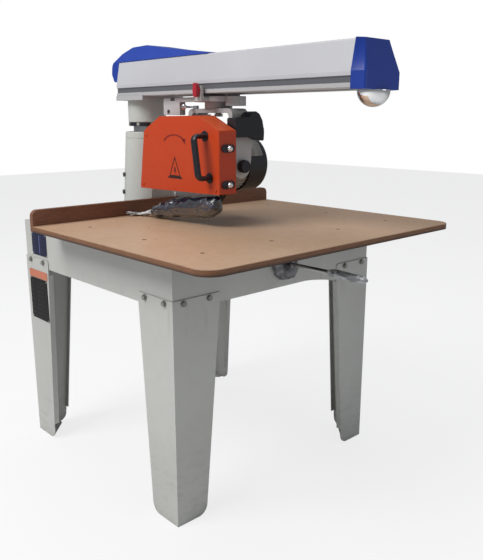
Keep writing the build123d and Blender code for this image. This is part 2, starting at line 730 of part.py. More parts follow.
with BuildPart() as carriage_body:
    # round swivel plate under the arm
    with Locations((0, head_y, 1253.5)):
        Cylinder(80, 17)
    chamfer(carriage_body.faces().sort_by(Axis.Z)[0].edges(), 2)
    # neck through the slot and cross plate inside the arm
    with Locations((0, head_y, 1266)):
        Box(56, 150, 30)
    with Locations((0, head_y, cross_plate_z)):
        Box(118, 176, 10)
    # round boss of the index plunger at the front of the plate
    with Locations((0, head_y - 84, 1247)):
        Cylinder(34, 30)
    # rear bracket for the hose, stepped, with a hole
    with BuildSketch(Plane.YZ.offset(-62)):
        with BuildLine():
            rounded_outline(hose_bracket_outline)
        make_face()
        with Locations((212, 1214)):
            Circle(8, mode=Mode.SUBTRACT)
    extrude(amount=24)
    # lug carrying the carriage lock outside the arm
    with Locations((-86, lock_y, 1252)):
        Box(40, 26, 12)
    with Locations((-101, lock_y, 1270)):
        Box(10, 26, 48)
    with Locations((-101, lock_y, lock_z)):
        Cylinder(lock_radius + clearance, 16, rotation=ALONG_X, mode=Mode.SUBTRACT)
    # bore for the swivel pin and holes of the roller axles
    with Locations((0, head_y, 1258)):
        Cylinder(swivel_pin_radius, 40, mode=Mode.SUBTRACT)
    with Locations(*[(x, y, cross_plate_z) for x, y in roller_spots]):
        Cylinder(6, 14, mode=Mode.SUBTRACT)


def build_roller(sx, sy):
    """Grooved track roller with a vertical bore, hugging a round rail."""
    with BuildPart() as roller:
        with Locations((sx * roller_x, head_y + sy * roller_dy, rail_z)):
            Cylinder(26, 20)
            Torus(rail_x - roller_x, rail_radius + 0.06, mode=Mode.SUBTRACT)
            Cylinder(axle_radius + clearance, 24, mode=Mode.SUBTRACT)
    return roller


# sections of each axle: radius, length, centre height
axle_sections = ((axle_radius, 25, 1299.5), (5.95, 12, cross_plate_z),
                 (11, 4, 1314), (11, 1.8, 1288))
with BuildPart() as roller_axles:
    for x, y in roller_spots:
        for radius, length, z in axle_sections:
            with Locations((x, y, z)):
                Cylinder(radius, length)

with BuildPart() as carriage_lock_knob:
    # stem ending just short of the arm flank
    with Locations((-97.6, lock_y, lock_z)):
        Cylinder(lock_radius, 18, rotation=ALONG_X)
    with Locations((-111, lock_y, lock_z)):
        Cylinder(11, 10, rotation=ALONG_X)
    # wings of the knob
    with BuildSketch(Plane.YZ.offset(-122)):
        with BuildLine():
            rounded_outline([(lock_y - 7, lock_z - 22, 6), (lock_y + 7, lock_z - 22, 6),
                             (lock_y + 10, lock_z, 0), (lock_y + 7, lock_z + 22, 6),
                             (lock_y - 7, lock_z + 22, 6), (lock_y - 10, lock_z, 0)])
        make_face()
    extrude(amount=12)

# ================================================================ YOKE
yoke_half = 112.0               # outer face of each cheek from the centre
cheek = 18                      # cheek thickness
yoke_left, cheek_radius = -40, 40
yoke_front, yoke_rear = head_y - yoke_half, head_y + yoke_half
trunnion_radius = 14
lever_x, lever_y = -22, head_y + 92

with BuildPart() as yoke:
    # bridge seen along X: an inverted U with rounded shoulders
    with BuildSketch(Plane.YZ.offset(yoke_left)):
        with BuildLine():
            rounded_outline([(yoke_front, 1100, 0), (yoke_front, 1224, 20),
                             (yoke_rear, 1224, 20), (yoke_rear, 1100, 0),
                             (yoke_rear - cheek, 1100, 0), (yoke_rear - cheek, 1210, 12),
                             (yoke_front + cheek, 1210, 12), (yoke_front + cheek, 1100, 0)])
        make_face()
    extrude(amount=68)
    # cheeks hanging to rounded ends around the pivot
    for cheek_y in (yoke_rear, yoke_front + cheek):
        with BuildSketch(front_plane(cheek_y)):
            with BuildLine():
                Polyline((yoke_left, 1206), (46, 1206), (44, 1060), (cheek_radius, arbor_z))
                ThreePointArc((cheek_radius, arbor_z), (0, arbor_z - cheek_radius),
                              (yoke_left, arbor_z))
                Line((yoke_left, arbor_z), (yoke_left, 1206))
            make_face()
        extrude(amount=cheek)
    # swivel flange meeting the carriage plate
    with Locations((0, head_y, 1234)):
        Cylinder(46, 21)
    with Locations((0, head_y, 1225)):
        Cylinder(swivel_pin_radius + clearance, 60, mode=Mode.SUBTRACT)
    with Locations(on_shaft(0)):
        Cylinder(trunnion_radius + clearance, 300, rotation=ALONG_Y, mode=Mode.SUBTRACT)
    with Locations((lever_x, lever_y, 1215)):
        Cylinder(5, 30, mode=Mode.SUBTRACT)

pin_bottom, pin_top = 1198, 1274
with BuildPart() as swivel_pin:
    with Locations((0, head_y, (pin_bottom + pin_top) / 2)):
        Cylinder(swivel_pin_radius, pin_top - pin_bottom)
    with Locations((0, head_y, pin_bottom + 5)):
        Cylinder(14, 10)

with BuildPart() as swivel_lock_lever:
    with Locations((lever_x, lever_y, 1229.2)):
        Cylinder(10, 10)
    with Locations((lever_x, lever_y, 1215)):
        Cylinder(4.9, 20)
    with Locations(Location((-52, head_y + 85.7, 1229.4), (0, 0, 11.8))):
        Box(62, 8, 6)
    # knob on the end of the lever
    lever_tip_x, lever_tip_y = -84, head_y + 79
    with Locations((lever_tip_x, lever_tip_y, 1230)):
        Cylinder(8.5, 8)
    with Locations((lever_tip_x, lever_tip_y, 1236)):
        Cone(8.5, 4.5, 4)
    with Locations((lever_tip_x, lever_tip_y, 1224)):
        Cone(4.5, 8.5, 4)

# ================================================================ MOTOR
core_x, core_length = 4, 60     # stator and rotor
bearing_xs, bearing_radius, bearing_length = (-50, 54), 31, 12

with BuildPart() as motor_body:
    with Locations(on_shaft(10)):
        Cylinder(84, 100, rotation=ALONG_X)
    # cooling fins along the barrel
    with BuildSketch(Plane.YZ.offset(-34)):
        with Locations((head_y, arbor_z)):
            with PolarLocations(0, 36):
                with Locations((86, 0)):
                    Rectangle(8, 3.2)
    extrude(amount=88)
    # flat pads around the trunnions
    with Locations((0, head_y - 85.9, arbor_z), (0, head_y + 85.9, arbor_z)):
        Box(52, 16, 52)
    # bore, open at the left, and bearing seat in the right wall
    with Locations(on_shaft(core_x)):
        Cylinder(70, 88.01, rotation=ALONG_X, mode=Mode.SUBTRACT)
    with Locations(on_shaft(bearing_xs[1])):
        Cylinder(bearing_radius, 20, rotation=ALONG_X, mode=Mode.SUBTRACT)
    with Locations((0, head_y - 86, arbor_z), (0, head_y + 86, arbor_z)):
        Cylinder(trunnion_radius, 20, rotation=ALONG_Y, mode=Mode.SUBTRACT)

with BuildPart() as motor_stator:
    with Locations(on_shaft(core_x)):
        Cylinder(69.9, core_length, rotation=ALONG_X)
        Cylinder(45, core_length + 2, rotation=ALONG_X, mode=Mode.SUBTRACT)
    # clear the trunnion pins
    with Locations((0, head_y - 73, arbor_z), (0, head_y + 73, arbor_z)):
        Cylinder(trunnion_radius + 0.2, 8, rotation=ALONG_Y, mode=Mode.SUBTRACT)

with BuildPart() as motor_rotor:
    with Locations(on_shaft(core_x)):
        Cylinder(44.4, core_length, rotation=ALONG_X)
        Cylinder(shaft_radius, core_length + 2, rotation=ALONG_X, mode=Mode.SUBTRACT)

shaft_left, shaft_right = -129, 112
with BuildPart() as motor_shaft:
    with Locations(on_shaft((shaft_left + shaft_right) / 2)):
        Cylinder(shaft_radius, shaft_right - shaft_left, rotation=ALONG_X)
    chamfer(motor_shaft.faces().sort_by(Axis.X)[0].edges(), 1.5)

with BuildPart() as motor_bearings:
    with Locations(*[on_shaft(x) for x in bearing_xs]):
        Cylinder(bearing_radius, bearing_length, rotation=ALONG_X)
        Cylinder(shaft_radius + clearance, bearing_length + 1, rotation=ALONG_X,
                 mode=Mode.SUBTRACT)

# stepped bell on the blade side of the motor: centre X, radius, length
bell_steps = ((-48, 86, 16), (-63, 60, 14), (-80, 32, 20))
bell_bores = ((-49, bearing_radius, 18.01), (-70, 17, 60))
with BuildPart() as motor_end_bell:
    for x, radius, length in bell_steps:
        with Locations(on_shaft(x)):
            Cylinder(radius, length, rotation=ALONG_X)
    for x, radius, length in bell_bores:
        with Locations(on_shaft(x)):
            Cylinder(radius, length, rotation=ALONG_X, mode=Mode.SUBTRACT)

fan_x, fan_width, fan_blades = 86, 20, 9
with BuildPart() as motor_fan:
    # hub, disc and radial blades
    with Locations(on_shaft(fan_x)):
        Cylinder(28, fan_width, rotation=ALONG_X)
    with Locations(on_shaft(79)):
        Cylinder(74, 3, rotation=ALONG_X)
    with BuildSketch(Plane.YZ.offset(80)):
        with Locations((head_y, arbor_z)):
            with PolarLocations(0, fan_blades):
                with Locations((50, 0)):
                    Rectangle(48, 2.4)
    extrude(amount=fan_width)
    with Locations(on_shaft(fan_x)):
        Cylinder(shaft_radius, 40, rotation=ALONG_X, mode=Mode.SUBTRACT)

slot_pitch, slot_width, slot_field_radius = 11, 5, 74
with BuildPart() as motor_fan_cowl:
    with Locations(on_shaft(102)):
        Cylinder(93.5, 84, rotation=ALONG_X)
    fillet(motor_fan_cowl.faces().sort_by(Axis.X)[-1].edges(), 8)
    with Locations(on_shaft(99.5)):
        Cylinder(88.5, 82, rotation=ALONG_X, mode=Mode.SUBTRACT)
    # ring that seats the cowl on the motor barrel
    with Locations(on_shaft(61.5)):
        Cylinder(90.5, 3, rotation=ALONG_X)
        Cylinder(40, 4, rotation=ALONG_X, mode=Mode.SUBTRACT)
    # air slots in the end face, within a circle
    with BuildSketch(Plane.YZ.offset(136)):
        with Locations((head_y, arbor_z)):
            for k in range(-6, 7):
                slot_z = k * slot_pitch
                slot_length = 2 * math.sqrt(slot_field_radius ** 2 - slot_z ** 2)
                with Locations((0, slot_z)):
                    Rectangle(slot_length, slot_width)
    extrude(amount=12, mode=Mode.SUBTRACT)
    # upright bar across the slots
    with Locations(on_shaft(142.2)):
        Box(3.4, 5, 170)

with BuildPart() as bevel_pins:
    with Locations((0, head_y - 99.5, arbor_z), (0, head_y + 99.5, arbor_z)):
        Cylinder(trunnion_radius, 39, rotation=ALONG_Y)

# bevel lock on the front cheek
with BuildPart() as bevel_lock_knob:
    with Locations((0, yoke_front - 3.2, arbor_z)):
        Cylinder(18, 4, rotation=ALONG_Y)
    with Locations((0, yoke_front - 14.7, arbor_z)):
        Cylinder(21, 19, rotation=ALONG_Y)
    fillet(bevel_lock_knob.faces().sort_by(Axis.Y)[0].edges(), 5)
    with Locations((0, yoke_front, arbor_z)):
        Cylinder(trunnion_radius + clearance, 14.1, rotation=ALONG_Y, mode=Mode.SUBTRACT)
    # finger grooves around the rim
    with BuildSketch(front_plane(yoke_front - 5.2)):
        with Locations((0, arbor_z)):
            with PolarLocations(23.4, 10):
                Circle(4.4)
    extrude(amount=30, mode=Mode.SUBTRACT)

# ================================================================ BLADE
blade_teeth = 40
# radius and angle in degrees from the tip of each tooth
tooth_profile = ((blade_radius, 0.0), (blade_radius - 1.2, 2.2),
                 (blade_radius - 8.5, 3.6), (blade_radius - 9.5, 6.6))
blade_points = []
for k in range(blade_teeth):
    for radius, offset in tooth_profile:
        angle = math.radians(360.0 / blade_teeth * k + offset)
        blade_points.append((head_y + radius * math.cos(angle),
                             arbor_z + radius * math.sin(angle)))

with BuildPart() as saw_blade:
    with BuildSketch(Plane.YZ.offset(blade_x - blade_thickness / 2)):
        Polygon(*blade_points, align=None)
        with Locations((head_y, arbor_z)):
            Circle(shaft_radius, mode=Mode.SUBTRACT)
    extrude(amount=blade_thickness)

flange_radius, right_flange, left_flange = 34, 10.8, 8.8
with BuildPart() as blade_flanges:
    with Locations(on_shaft(blade_x + (blade_thickness + right_flange) / 2)):
        Cylinder(flange_radius, right_flange, rotation=ALONG_X)
    with Locations(on_shaft(blade_x - (blade_thickness + left_flange) / 2)):
        Cylinder(flange_radius, left_flange, rotation=ALONG_X)
    with Locations(on_shaft(blade_x)):
        Cylinder(shaft_radius, 50, rotation=ALONG_X, mode=Mode.SUBTRACT)

with BuildPart() as arbor_nut:
    with BuildSketch(Plane.YZ.offset(-127)):
        with Locations((head_y, arbor_z)):
            RegularPolygon(23, 6)
            Circle(shaft_radius, mode=Mode.SUBTRACT)
    extrude(amount=12)

# ================================================================ GUARD
guard_wall = 3
guard_front = -145
guard_knob_zs = (1102, 990)
# side outlines: y, z, corner radius
guard_outline = [(284.5, 952, 5), (252.5, 1151, 8), (160, 1199.5, 6),
                 (-41.5, 1201.5, 5), (guard_front, 1156, 5), (guard_front, 960, 4)]
guard_hollow = [(281.5, 940, 0), (249.8, 1149, 0), (159, 1196.6, 0),
                (-41, 1198.5, 0), (-142, 1154, 0), (-142, 940, 0)]

with BuildPart() as blade_guard:
    with BuildSketch(Plane.YZ.offset(guard_left)):
        with BuildLine():
            rounded_outline(guard_outline)
        make_face()
    extrude(amount=guard_right - guard_left)
    # hollow, open underneath
    with BuildSketch(Plane.YZ.offset(guard_left + guard_wall)):
        with BuildLine():
            rounded_outline(guard_hollow)
        make_face()
    extrude(amount=guard_right - guard_left - 2 * guard_wall, mode=Mode.SUBTRACT)
    # opening around the nose of the motor end bell
    with Locations(on_shaft(guard_right - guard_wall / 2)):
        Cylinder(33, 6, rotation=ALONG_X, mode=Mode.SUBTRACT)
    # stud holes of the two front knobs
    with Locations(*[(blade_x, guard_front + 1, z) for z in guard_knob_zs]):
        Cylinder(4, 10, rotation=ALONG_Y, mode=Mode.SUBTRACT)

# bent grip on the left of the guard
handle_x = -186
handle_top_y, handle_top_z = -77.5, 1139
handle_low_y, handle_low_z = -98.5, 1010
with BuildPart() as guard_handle:
    with BuildLine() as handle_path:
        FilletPolyline((guard_left, handle_top_y, handle_top_z),
                       (handle_x, handle_top_y, handle_top_z),
                       (handle_x, handle_low_y, handle_low_z),
                       (guard_left, handle_low_y, handle_low_z), radius=15)
    # the wide axis of the oval section is square to the slope of the grip
    with BuildSketch(Plane(origin=handle_path.line @ 0,
                           x_dir=(0, handle_top_z - handle_low_z, handle_low_y - handle_top_y),
                           z_dir=handle_path.line % 0)):
        Ellipse(13, 8)
    sweep()
    with Locations((guard_left - 1.5, handle_top_y, handle_top_z),
                   (guard_left - 1.5, handle_low_y, handle_low_z)):
        Cylinder(16, 3, rotation=ALONG_X)

# domed nuts with washers on the front of the guard
washer_thickness, nut_height = 5, 7
with BuildPart() as guard_knobs:
    for z in guard_knob_zs:
        knob_plane = Plane(origin=(blade_x, guard_front, z), x_dir=(1, 0, 0), z_dir=(0, -1, 0))
        with BuildSketch(knob_plane):
            SlotOverall(52, 24)
        extrude(amount=washer_thickness)
        with BuildSketch(knob_plane.offset(washer_thickness)):
            RegularPolygon(10.5, 6)
        extrude(amount=nut_height)
        with Locations((blade_x, guard_front - washer_thickness - nut_height, z)):
            Sphere(8.6)
        with Locations((blade_x, guard_front + 3, z)):
            Cylinder(3.9, 8, rotation=ALONG_Y)

band_radius, band_start, band_end, band_steps = 152, 205, 335, 26


def arc_points(radius, start, end):
    """Points around the arbor in the YZ plane, with angles in degrees."""
    angles = [math.radians(start + (end - start) * k / band_steps)
              for k in range(band_steps + 1)]
    return [(head_y + radius * math.cos(a), arbor_z + radius * math.sin(a)) for a in angles]


def band_outline(inner_radius):
    """Closed outline of the band that hangs around the lower part of the blade."""
    outer = arc_points(band_radius, band_start, band_end)
    inner = arc_points(inner_radius, band_end, band_start)
    return outer + inner + outer[:1]


with BuildPart() as lower_guard:
    # hub, side band and the arm joining them
    with BuildSketch(Plane.YZ.offset(-81)):
        with Locations((head_y, arbor_z)):
            Circle(44)
        with BuildLine():
            Polyline(*band_outline(124))
        make_face()
        with BuildLine():
            Polyline((head_y - 26, arbor_z - 30), (head_y + 26, arbor_z - 30),
                     (head_y + 34, arbor_z - 130), (head_y - 34, arbor_z - 130),
                     (head_y - 26, arbor_z - 30))
        make_face()
        with Locations((head_y, arbor_z)):
            Circle(32.06, mode=Mode.SUBTRACT)
    extrude(amount=3)
    # rim standing out to the left
    with BuildSketch(Plane.YZ.offset(-100)):
        with BuildLine():
            Polyline(*band_outline(149.6))
        make_face()
    extrude(amount=20)

# ================================================================ SWITCH BOX
box_depth = 40
box_front = yoke_front - box_depth
start_y, stop_y = box_front + 11, box_front + 29
button_radius, button_z = 6.5, 1158
# front outline: x, z, corner radius
switch_box_outline = [
    (-62, 1134, 5), (24, 1134, 0), (62, 1120, 5), (64, 1150, 8), (56, 1186, 10),
    (42, 1207, 8), (26, 1215, 6), (10, 1211, 6), (-4, 1197, 6), (-62, 1194, 6),
]
with BuildPart() as switch_box:
    with BuildSketch(front_plane(yoke_front)):
        with BuildLine():
            rounded_outline(switch_box_outline)
        make_face()
    extrude(amount=box_depth)
    with Locations((-4, (box_front + yoke_front) / 2, 1162)):
        Box(100, box_depth - 6, 40, mode=Mode.SUBTRACT)
    with Locations((62, start_y, button_z), (62, stop_y, button_z)):
        Cylinder(button_radius + 0.06, 30, rotation=ALONG_X, mode=Mode.SUBTRACT)

with BuildPart() as start_button:
    with Locations((60, start_y, button_z)):
        Cylinder(button_radius, 16, rotation=ALONG_X)

with BuildPart() as stop_button:
    with Locations((61, stop_y, button_z)):
        Cylinder(button_radius, 18, rotation=ALONG_X)

# ================================================================ EXPORT
pieces = {
    "stand_frame": stand_frame, "leg_bolts": leg_bolts,
    "table_bearers": table_bearers, "table_top": table_top,
    "wood_screws": wood_screws, "fence": fence,
    "column_base": column_base, "column_bolts": column_bolts, "column_key": column_key,
    "column_post": column_post, "column_collar": column_collar,
    "lift_nut": lift_nut, "lift_screw": lift_screw, "screw_gear": screw_gear,
    "crank_pinion": crank_pinion, "thrust_bearing": thrust_bearing,
    "crank_shaft": crank_shaft, "crank_bearing_front": crank_bearing_front,
    "crank_bearing_rear": crank_bearing_rear, "crank_handle": crank_handle,
    "turret": turret, "arm_beam": arm_beam, "arm_rails": arm_rails,
    "arm_front_cap": arm_front_cap, "arm_rear_cover": arm_rear_cover,
    "arm_lock_knob": arm_lock_knob, "carriage_body": carriage_body,
    "roller_axles": roller_axles, "carriage_lock_knob": carriage_lock_knob,
    "yoke": yoke, "swivel_pin": swivel_pin, "swivel_lock_lever": swivel_lock_lever,
    "motor_body": motor_body, "motor_stator": motor_stator, "motor_rotor": motor_rotor,
    "motor_shaft": motor_shaft, "motor_bearings": motor_bearings,
    "motor_end_bell": motor_end_bell, "motor_fan": motor_fan,
    "motor_fan_cowl": motor_fan_cowl, "bevel_pins": bevel_pins,
    "bevel_lock_knob": bevel_lock_knob, "saw_blade": saw_blade,
    "blade_flanges": blade_flanges, "arbor_nut": arbor_nut, "blade_guard": blade_guard,
    "guard_handle": guard_handle, "guard_knobs": guard_knobs, "lower_guard": lower_guard,
    "switch_box": switch_box, "start_button": start_button, "stop_button": stop_button,
}
for end_name, end_sign in (("front", -1), ("rear", 1)):
    for side_name, side in (("left", -1), ("right", 1)):
        pieces[f"leg_{end_name}_{side_name}"] = build_leg(side, end_sign > 0)
        pieces[f"roller_{end_name}_{side_name}"] = build_roller(side, end_sign)

for name, piece in pieces.items():
    placed = piece.part.moved(Location((0, set_back, 0)))
    placed.label = name
    export_step(placed, f"parts/{name}.step")
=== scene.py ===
"""Looks of a radial arm saw: a stand with a board table, a column behind it and an arm
reaching forward over the table, with the motor head and its guarded blade beneath.

Metres, +Z up. The operator stands on the -Y side, and -X is the saw's left.
The CAD pieces get procedural materials. Bolts, signs, plates and wrinkled film are added
as meshes that ride on the moving bodies.
"""
import bpy
import math
import random
import numpy as np
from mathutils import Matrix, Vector, noise


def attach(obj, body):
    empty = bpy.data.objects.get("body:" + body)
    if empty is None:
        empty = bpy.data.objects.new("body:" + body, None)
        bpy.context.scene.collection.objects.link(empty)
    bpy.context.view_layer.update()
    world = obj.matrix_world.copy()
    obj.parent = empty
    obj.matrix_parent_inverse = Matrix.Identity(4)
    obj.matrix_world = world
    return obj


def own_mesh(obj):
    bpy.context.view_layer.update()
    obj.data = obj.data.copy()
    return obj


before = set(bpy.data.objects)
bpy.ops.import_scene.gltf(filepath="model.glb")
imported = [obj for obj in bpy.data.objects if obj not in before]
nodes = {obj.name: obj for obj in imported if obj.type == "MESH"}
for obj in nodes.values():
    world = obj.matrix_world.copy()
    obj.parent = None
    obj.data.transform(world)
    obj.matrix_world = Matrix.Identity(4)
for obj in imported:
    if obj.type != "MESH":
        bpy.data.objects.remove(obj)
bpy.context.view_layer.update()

# Added pieces are drawn about the saw's working axes.
# The frame's origin lies this much nearer the operator.
SET_BACK = 0.0205
scene = bpy.context.scene
random.seed(7)

MATERIALS = {}      # every material made here, by name


# ------------------------------------------------------------------ colours and nodes
def srgb(*channels):
    """Linear colour from 0-255 sRGB channels."""
    return tuple((c / 255.0) / 12.92 if c <= 10 else ((c / 255.0 + 0.055) / 1.055) ** 2.4
                 for c in channels)


def tint(color, factor):
    return tuple(max(0.0, min(1.0, c * factor)) for c in color)


def plug(tree, socket, value):
    """Link an output to the socket, or set the socket's own value."""
    if hasattr(value, "is_output"):
        tree.links.new(value, socket)
    elif socket.type == "RGBA":
        socket.default_value = (*value, 1)
    else:
        socket.default_value = value


def add_node(tree, kind, inputs=None, **settings):
    node = tree.nodes.new(kind)
    for key, value in settings.items():
        setattr(node, key, value)
    for key, value in (inputs or {}).items():
        plug(tree, node.inputs[key], value)
    return node


class Surface:
    """Builder for a procedural material in object coordinates; masks run from 0 to 1."""

    SOCKETS = {"color": "Base Color", "rough": "Roughness", "metal": "Metallic",
               "coat": "Coat Weight", "coat_rough": "Coat Roughness",
               "spec": "Specular IOR Level", "trans": "Transmission Weight", "ior": "IOR"}

    def __init__(self, name):
        material = bpy.data.materials.new(name)
        material.use_nodes = True
        MATERIALS[name] = material
        self.tree = material.node_tree
        self.tree.nodes.clear()
        self.output = self.node("ShaderNodeOutputMaterial")
        self.principled = self.node("ShaderNodeBsdfPrincipled")
        plug(self.tree, self.output.inputs[0], self.principled.outputs[0])
        self.coords = self.node("ShaderNodeTexCoord").outputs["Object"]
        self.split = None

    def node(self, kind, inputs=None, **settings):
        return add_node(self.tree, kind, inputs, **settings)

    def noise(self, scale, detail=4.0, rough=0.55, stretch=(1, 1, 1), seed=0.0, dist=0.0):
        mapping = self.node("ShaderNodeMapping", {
            "Scale": stretch, "Location": (seed * 3.1, seed * 1.7, seed), 0: self.coords})
        return self.node("ShaderNodeTexNoise", {
            "Scale": scale, "Detail": detail, "Roughness": rough, "Distortion": dist,
            "Vector": mapping.outputs[0]}).outputs["Fac"]

    def ramp(self, value, lo, hi, bottom=0, top=1):
        """Grey ramp: bottom below lo, rising or falling to top at hi."""
        ramp = self.node("ShaderNodeValToRGB", {0: value})
        stops = ((lo, bottom), (hi, top))
        for element, (position, grey) in zip(ramp.color_ramp.elements, stops):
            element.position = position
            element.color = (grey, grey, grey, 1)
        return ramp.outputs[0]

    def patches(self, lo, hi, bottom=0, top=1, **pattern):
        """Noise passed through a ramp."""
        return self.ramp(self.noise(**pattern), lo, hi, bottom, top)

    def mix(self, mask, base, layer):
        return self.node("ShaderNodeMix", {0: mask, 6: base, 7: layer},
                         data_type="RGBA", blend_type="MIX").outputs[2]

    def math(self, operation, first, second=0.0, third=0.0, clamp=False):
        return self.node("ShaderNodeMath", {0: first, 1: second, 2: third},
                         operation=operation, use_clamp=clamp).outputs[0]

    def times(self, first, second):
        return self.math("MULTIPLY", first, second)

    def over(self, base, layer, mask, amount):
        """Lay a colour over the base where the mask is white, at a given strength."""
        return self.mix(self.times(mask, amount), base, layer)

    def vary(self, value, amount, base, clamp=False):
        """value * amount + base, as two nodes."""
        return self.math("ADD", self.times(value, amount), base, clamp=clamp)

    def plus(self, base, value, amount, clamp=False):
        """base + value * amount, as two nodes."""
        return self.math("ADD", base, self.times(value, amount), clamp=clamp)

    def axis(self, letter):
        """Y or Z coordinate, with Y measured from the working axes."""
        if self.split is None:
            self.split = self.node("ShaderNodeSeparateXYZ", {0: self.coords})
        if letter == "y":
            return self.math("SUBTRACT", self.split.outputs[1], SET_BACK)
        return self.split.outputs[2]

    def band(self, value, lo, hi, soft):
        """1 between lo and hi of a coordinate, with soft ends."""
        rise = self.math("MULTIPLY_ADD", value, 1.0 / soft, -lo / soft + 0.5, clamp=True)
        fall = self.math("MULTIPLY_ADD", value, -1.0 / soft, hi / soft + 0.5, clamp=True)
        return self.times(rise, fall)

    def bevel(self, radius):
        return self.node("ShaderNodeBevel", {"Radius": radius}, samples=4).outputs[0]

    def edge(self, radius=0.0022):
        """White along sharp edges: where the rounded normal leaves the true one."""
        true = self.node("ShaderNodeNewGeometry").outputs["Normal"]
        dot = self.node("ShaderNodeVectorMath", {0: true, 1: self.bevel(radius)},
                        operation="DOT_PRODUCT").outputs["Value"]
        return self.ramp(self.math("SUBTRACT", 1.0, dot), lo=0.004, hi=0.05)

    def upward(self, lo, hi=1.0):
        """White on faces that look up."""
        normal = self.node("ShaderNodeNewGeometry").outputs["Normal"]
        split = self.node("ShaderNodeSeparateXYZ", {0: normal})
        return self.ramp(split.outputs[2], lo, hi)

    def recess(self, distance, lo, hi):
        """White in corners and hollows, from ambient occlusion; a mask for painted shade."""
        occlusion = self.node("ShaderNodeAmbientOcclusion", {"Distance": distance}, samples=4)
        return self.ramp(occlusion.outputs["AO"], lo, hi, bottom=1, top=0)

    def corner_shade(self, distance, lo, hi, thin):
        """Patchy painted shade in the corners, from the ambient occlusion mask."""
        return self.times(self.recess(distance, lo, hi),
                          self.patches(0.3, 0.7, bottom=thin, scale=14, detail=5, seed=3))

    def tone(self, color, scale, dark, light, lo=0.35, hi=0.65):
        """Slow drift of a colour between a darker and a lighter tint."""
        drift = self.patches(lo, hi, scale=scale, detail=3, seed=1)
        return self.mix(drift, tint(color, dark), tint(color, light))

    def chipped(self, color, under, amount, lo, hi, scale=48, radius=0.0022):
        """Paint lost in spots along the edges."""
        spots = self.patches(lo, hi, scale=scale, detail=5, rough=0.7, seed=4)
        return self.over(color, under, self.times(self.edge(radius), spots), amount)

    def dusted(self, color, dust, slope, scale, thin=0.15, hi=0.7, thick=0.6):
        """Patchy dust on faces turned up by more than the slope value."""
        cover = self.patches(0.35, hi, bottom=thin, top=thick,
                             scale=scale, detail=6, rough=0.7, seed=6)
        return self.mix(self.times(self.upward(slope), cover), color, dust)

    def bump(self, height, strength, distance, bevel=0.0012):
        """Bump on top of normals rounded by the bevel radius; a bevel of 0 leaves it out."""
        inputs = {"Strength": strength, "Distance": distance, "Height": height}
        if bevel:
            inputs["Normal"] = self.bevel(bevel)
        relief = self.node("ShaderNodeBump", inputs)
        plug(self.tree, self.principled.inputs["Normal"], relief.outputs[0])

    def finish(self, **looks):
        for key, value in looks.items():
            plug(self.tree, self.principled.inputs[self.SOCKETS[key]], value)


# ------------------------------------------------------------------ kinds of material
def enamel(name, color, rough, coat, corner_shade_amount, dust=None, peel=0.05, chip=None):
    """Stove enamel: orange peel, slow tone drift, patchy painted shade in corners, dust and worn
    edges.
    """
    mat = Surface(name)
    col = mat.tone(color, scale=2.2, dark=0.95, light=1.05)
    fine = mat.patches(0.42, 0.75, top=0.12, scale=38, detail=5, seed=2)
    col = mat.mix(fine, col, tint(color, 0.7))
    # painted shade: darker patches in corners and recesses, which also raise the roughness
    corner_shade = mat.corner_shade(distance=0.045, lo=0.35, hi=0.85, thin=0.35)
    col = mat.over(col, tint(color, 0.35), corner_shade, corner_shade_amount)
    # fine scuffs, lighter on dark paint and darker on pale paint
    scuff = mat.patches(0.60, 0.70, scale=9, detail=8, rough=0.7, stretch=(1, 6, 14), seed=5)
    col = mat.over(col, tint(color, 1.25 if sum(color) < 1.6 else 0.78), scuff, amount=0.10)
    if chip is not None:
        col = mat.chipped(col, chip, amount=0.7, lo=0.53, hi=0.60)
    if dust is not None:
        col = mat.dusted(col, dust, slope=0.6, scale=20)
    gloss = mat.vary(mat.noise(scale=7, detail=5, seed=8), amount=0.16, base=rough - 0.08)
    gloss = mat.plus(gloss, corner_shade, amount=0.2, clamp=True)
    mat.bump(mat.noise(scale=260, detail=2, seed=9), strength=peel, distance=0.0006)
    mat.finish(color=col, rough=gloss, coat=coat, coat_rough=0.25)


def metal(name, color, rough, brushed=(1, 1, 1), var=0.12, bump=0.04, stain=None):
    """Machined or plated metal: directional grain, stains, painted shade in recesses."""
    mat = Surface(name)
    grain = mat.noise(scale=90, detail=5, rough=0.6, stretch=brushed, seed=1)
    slow = mat.noise(scale=12, detail=4, seed=2)
    col = mat.mix(grain, tint(color, 1 - var), tint(color, 1 + var))
    if stain is not None:
        col = mat.mix(mat.ramp(slow, lo=0.5, hi=0.72, top=0.5), col, stain)
    # painted shade: recesses darkened from ambient occlusion
    recess_shade = mat.recess(distance=0.02, lo=0.3, hi=0.85)
    col = mat.over(col, tint(color, 0.2), recess_shade, amount=0.35)
    gloss = mat.vary(grain, amount=0.18, base=rough - 0.09)
    gloss = mat.plus(gloss, mat.ramp(slow, lo=0.45, hi=0.8), amount=0.12, clamp=True)
    mat.bump(grain, strength=bump, distance=0.0004, bevel=0.0006)
    mat.finish(color=col, rough=gloss, metal=1.0)


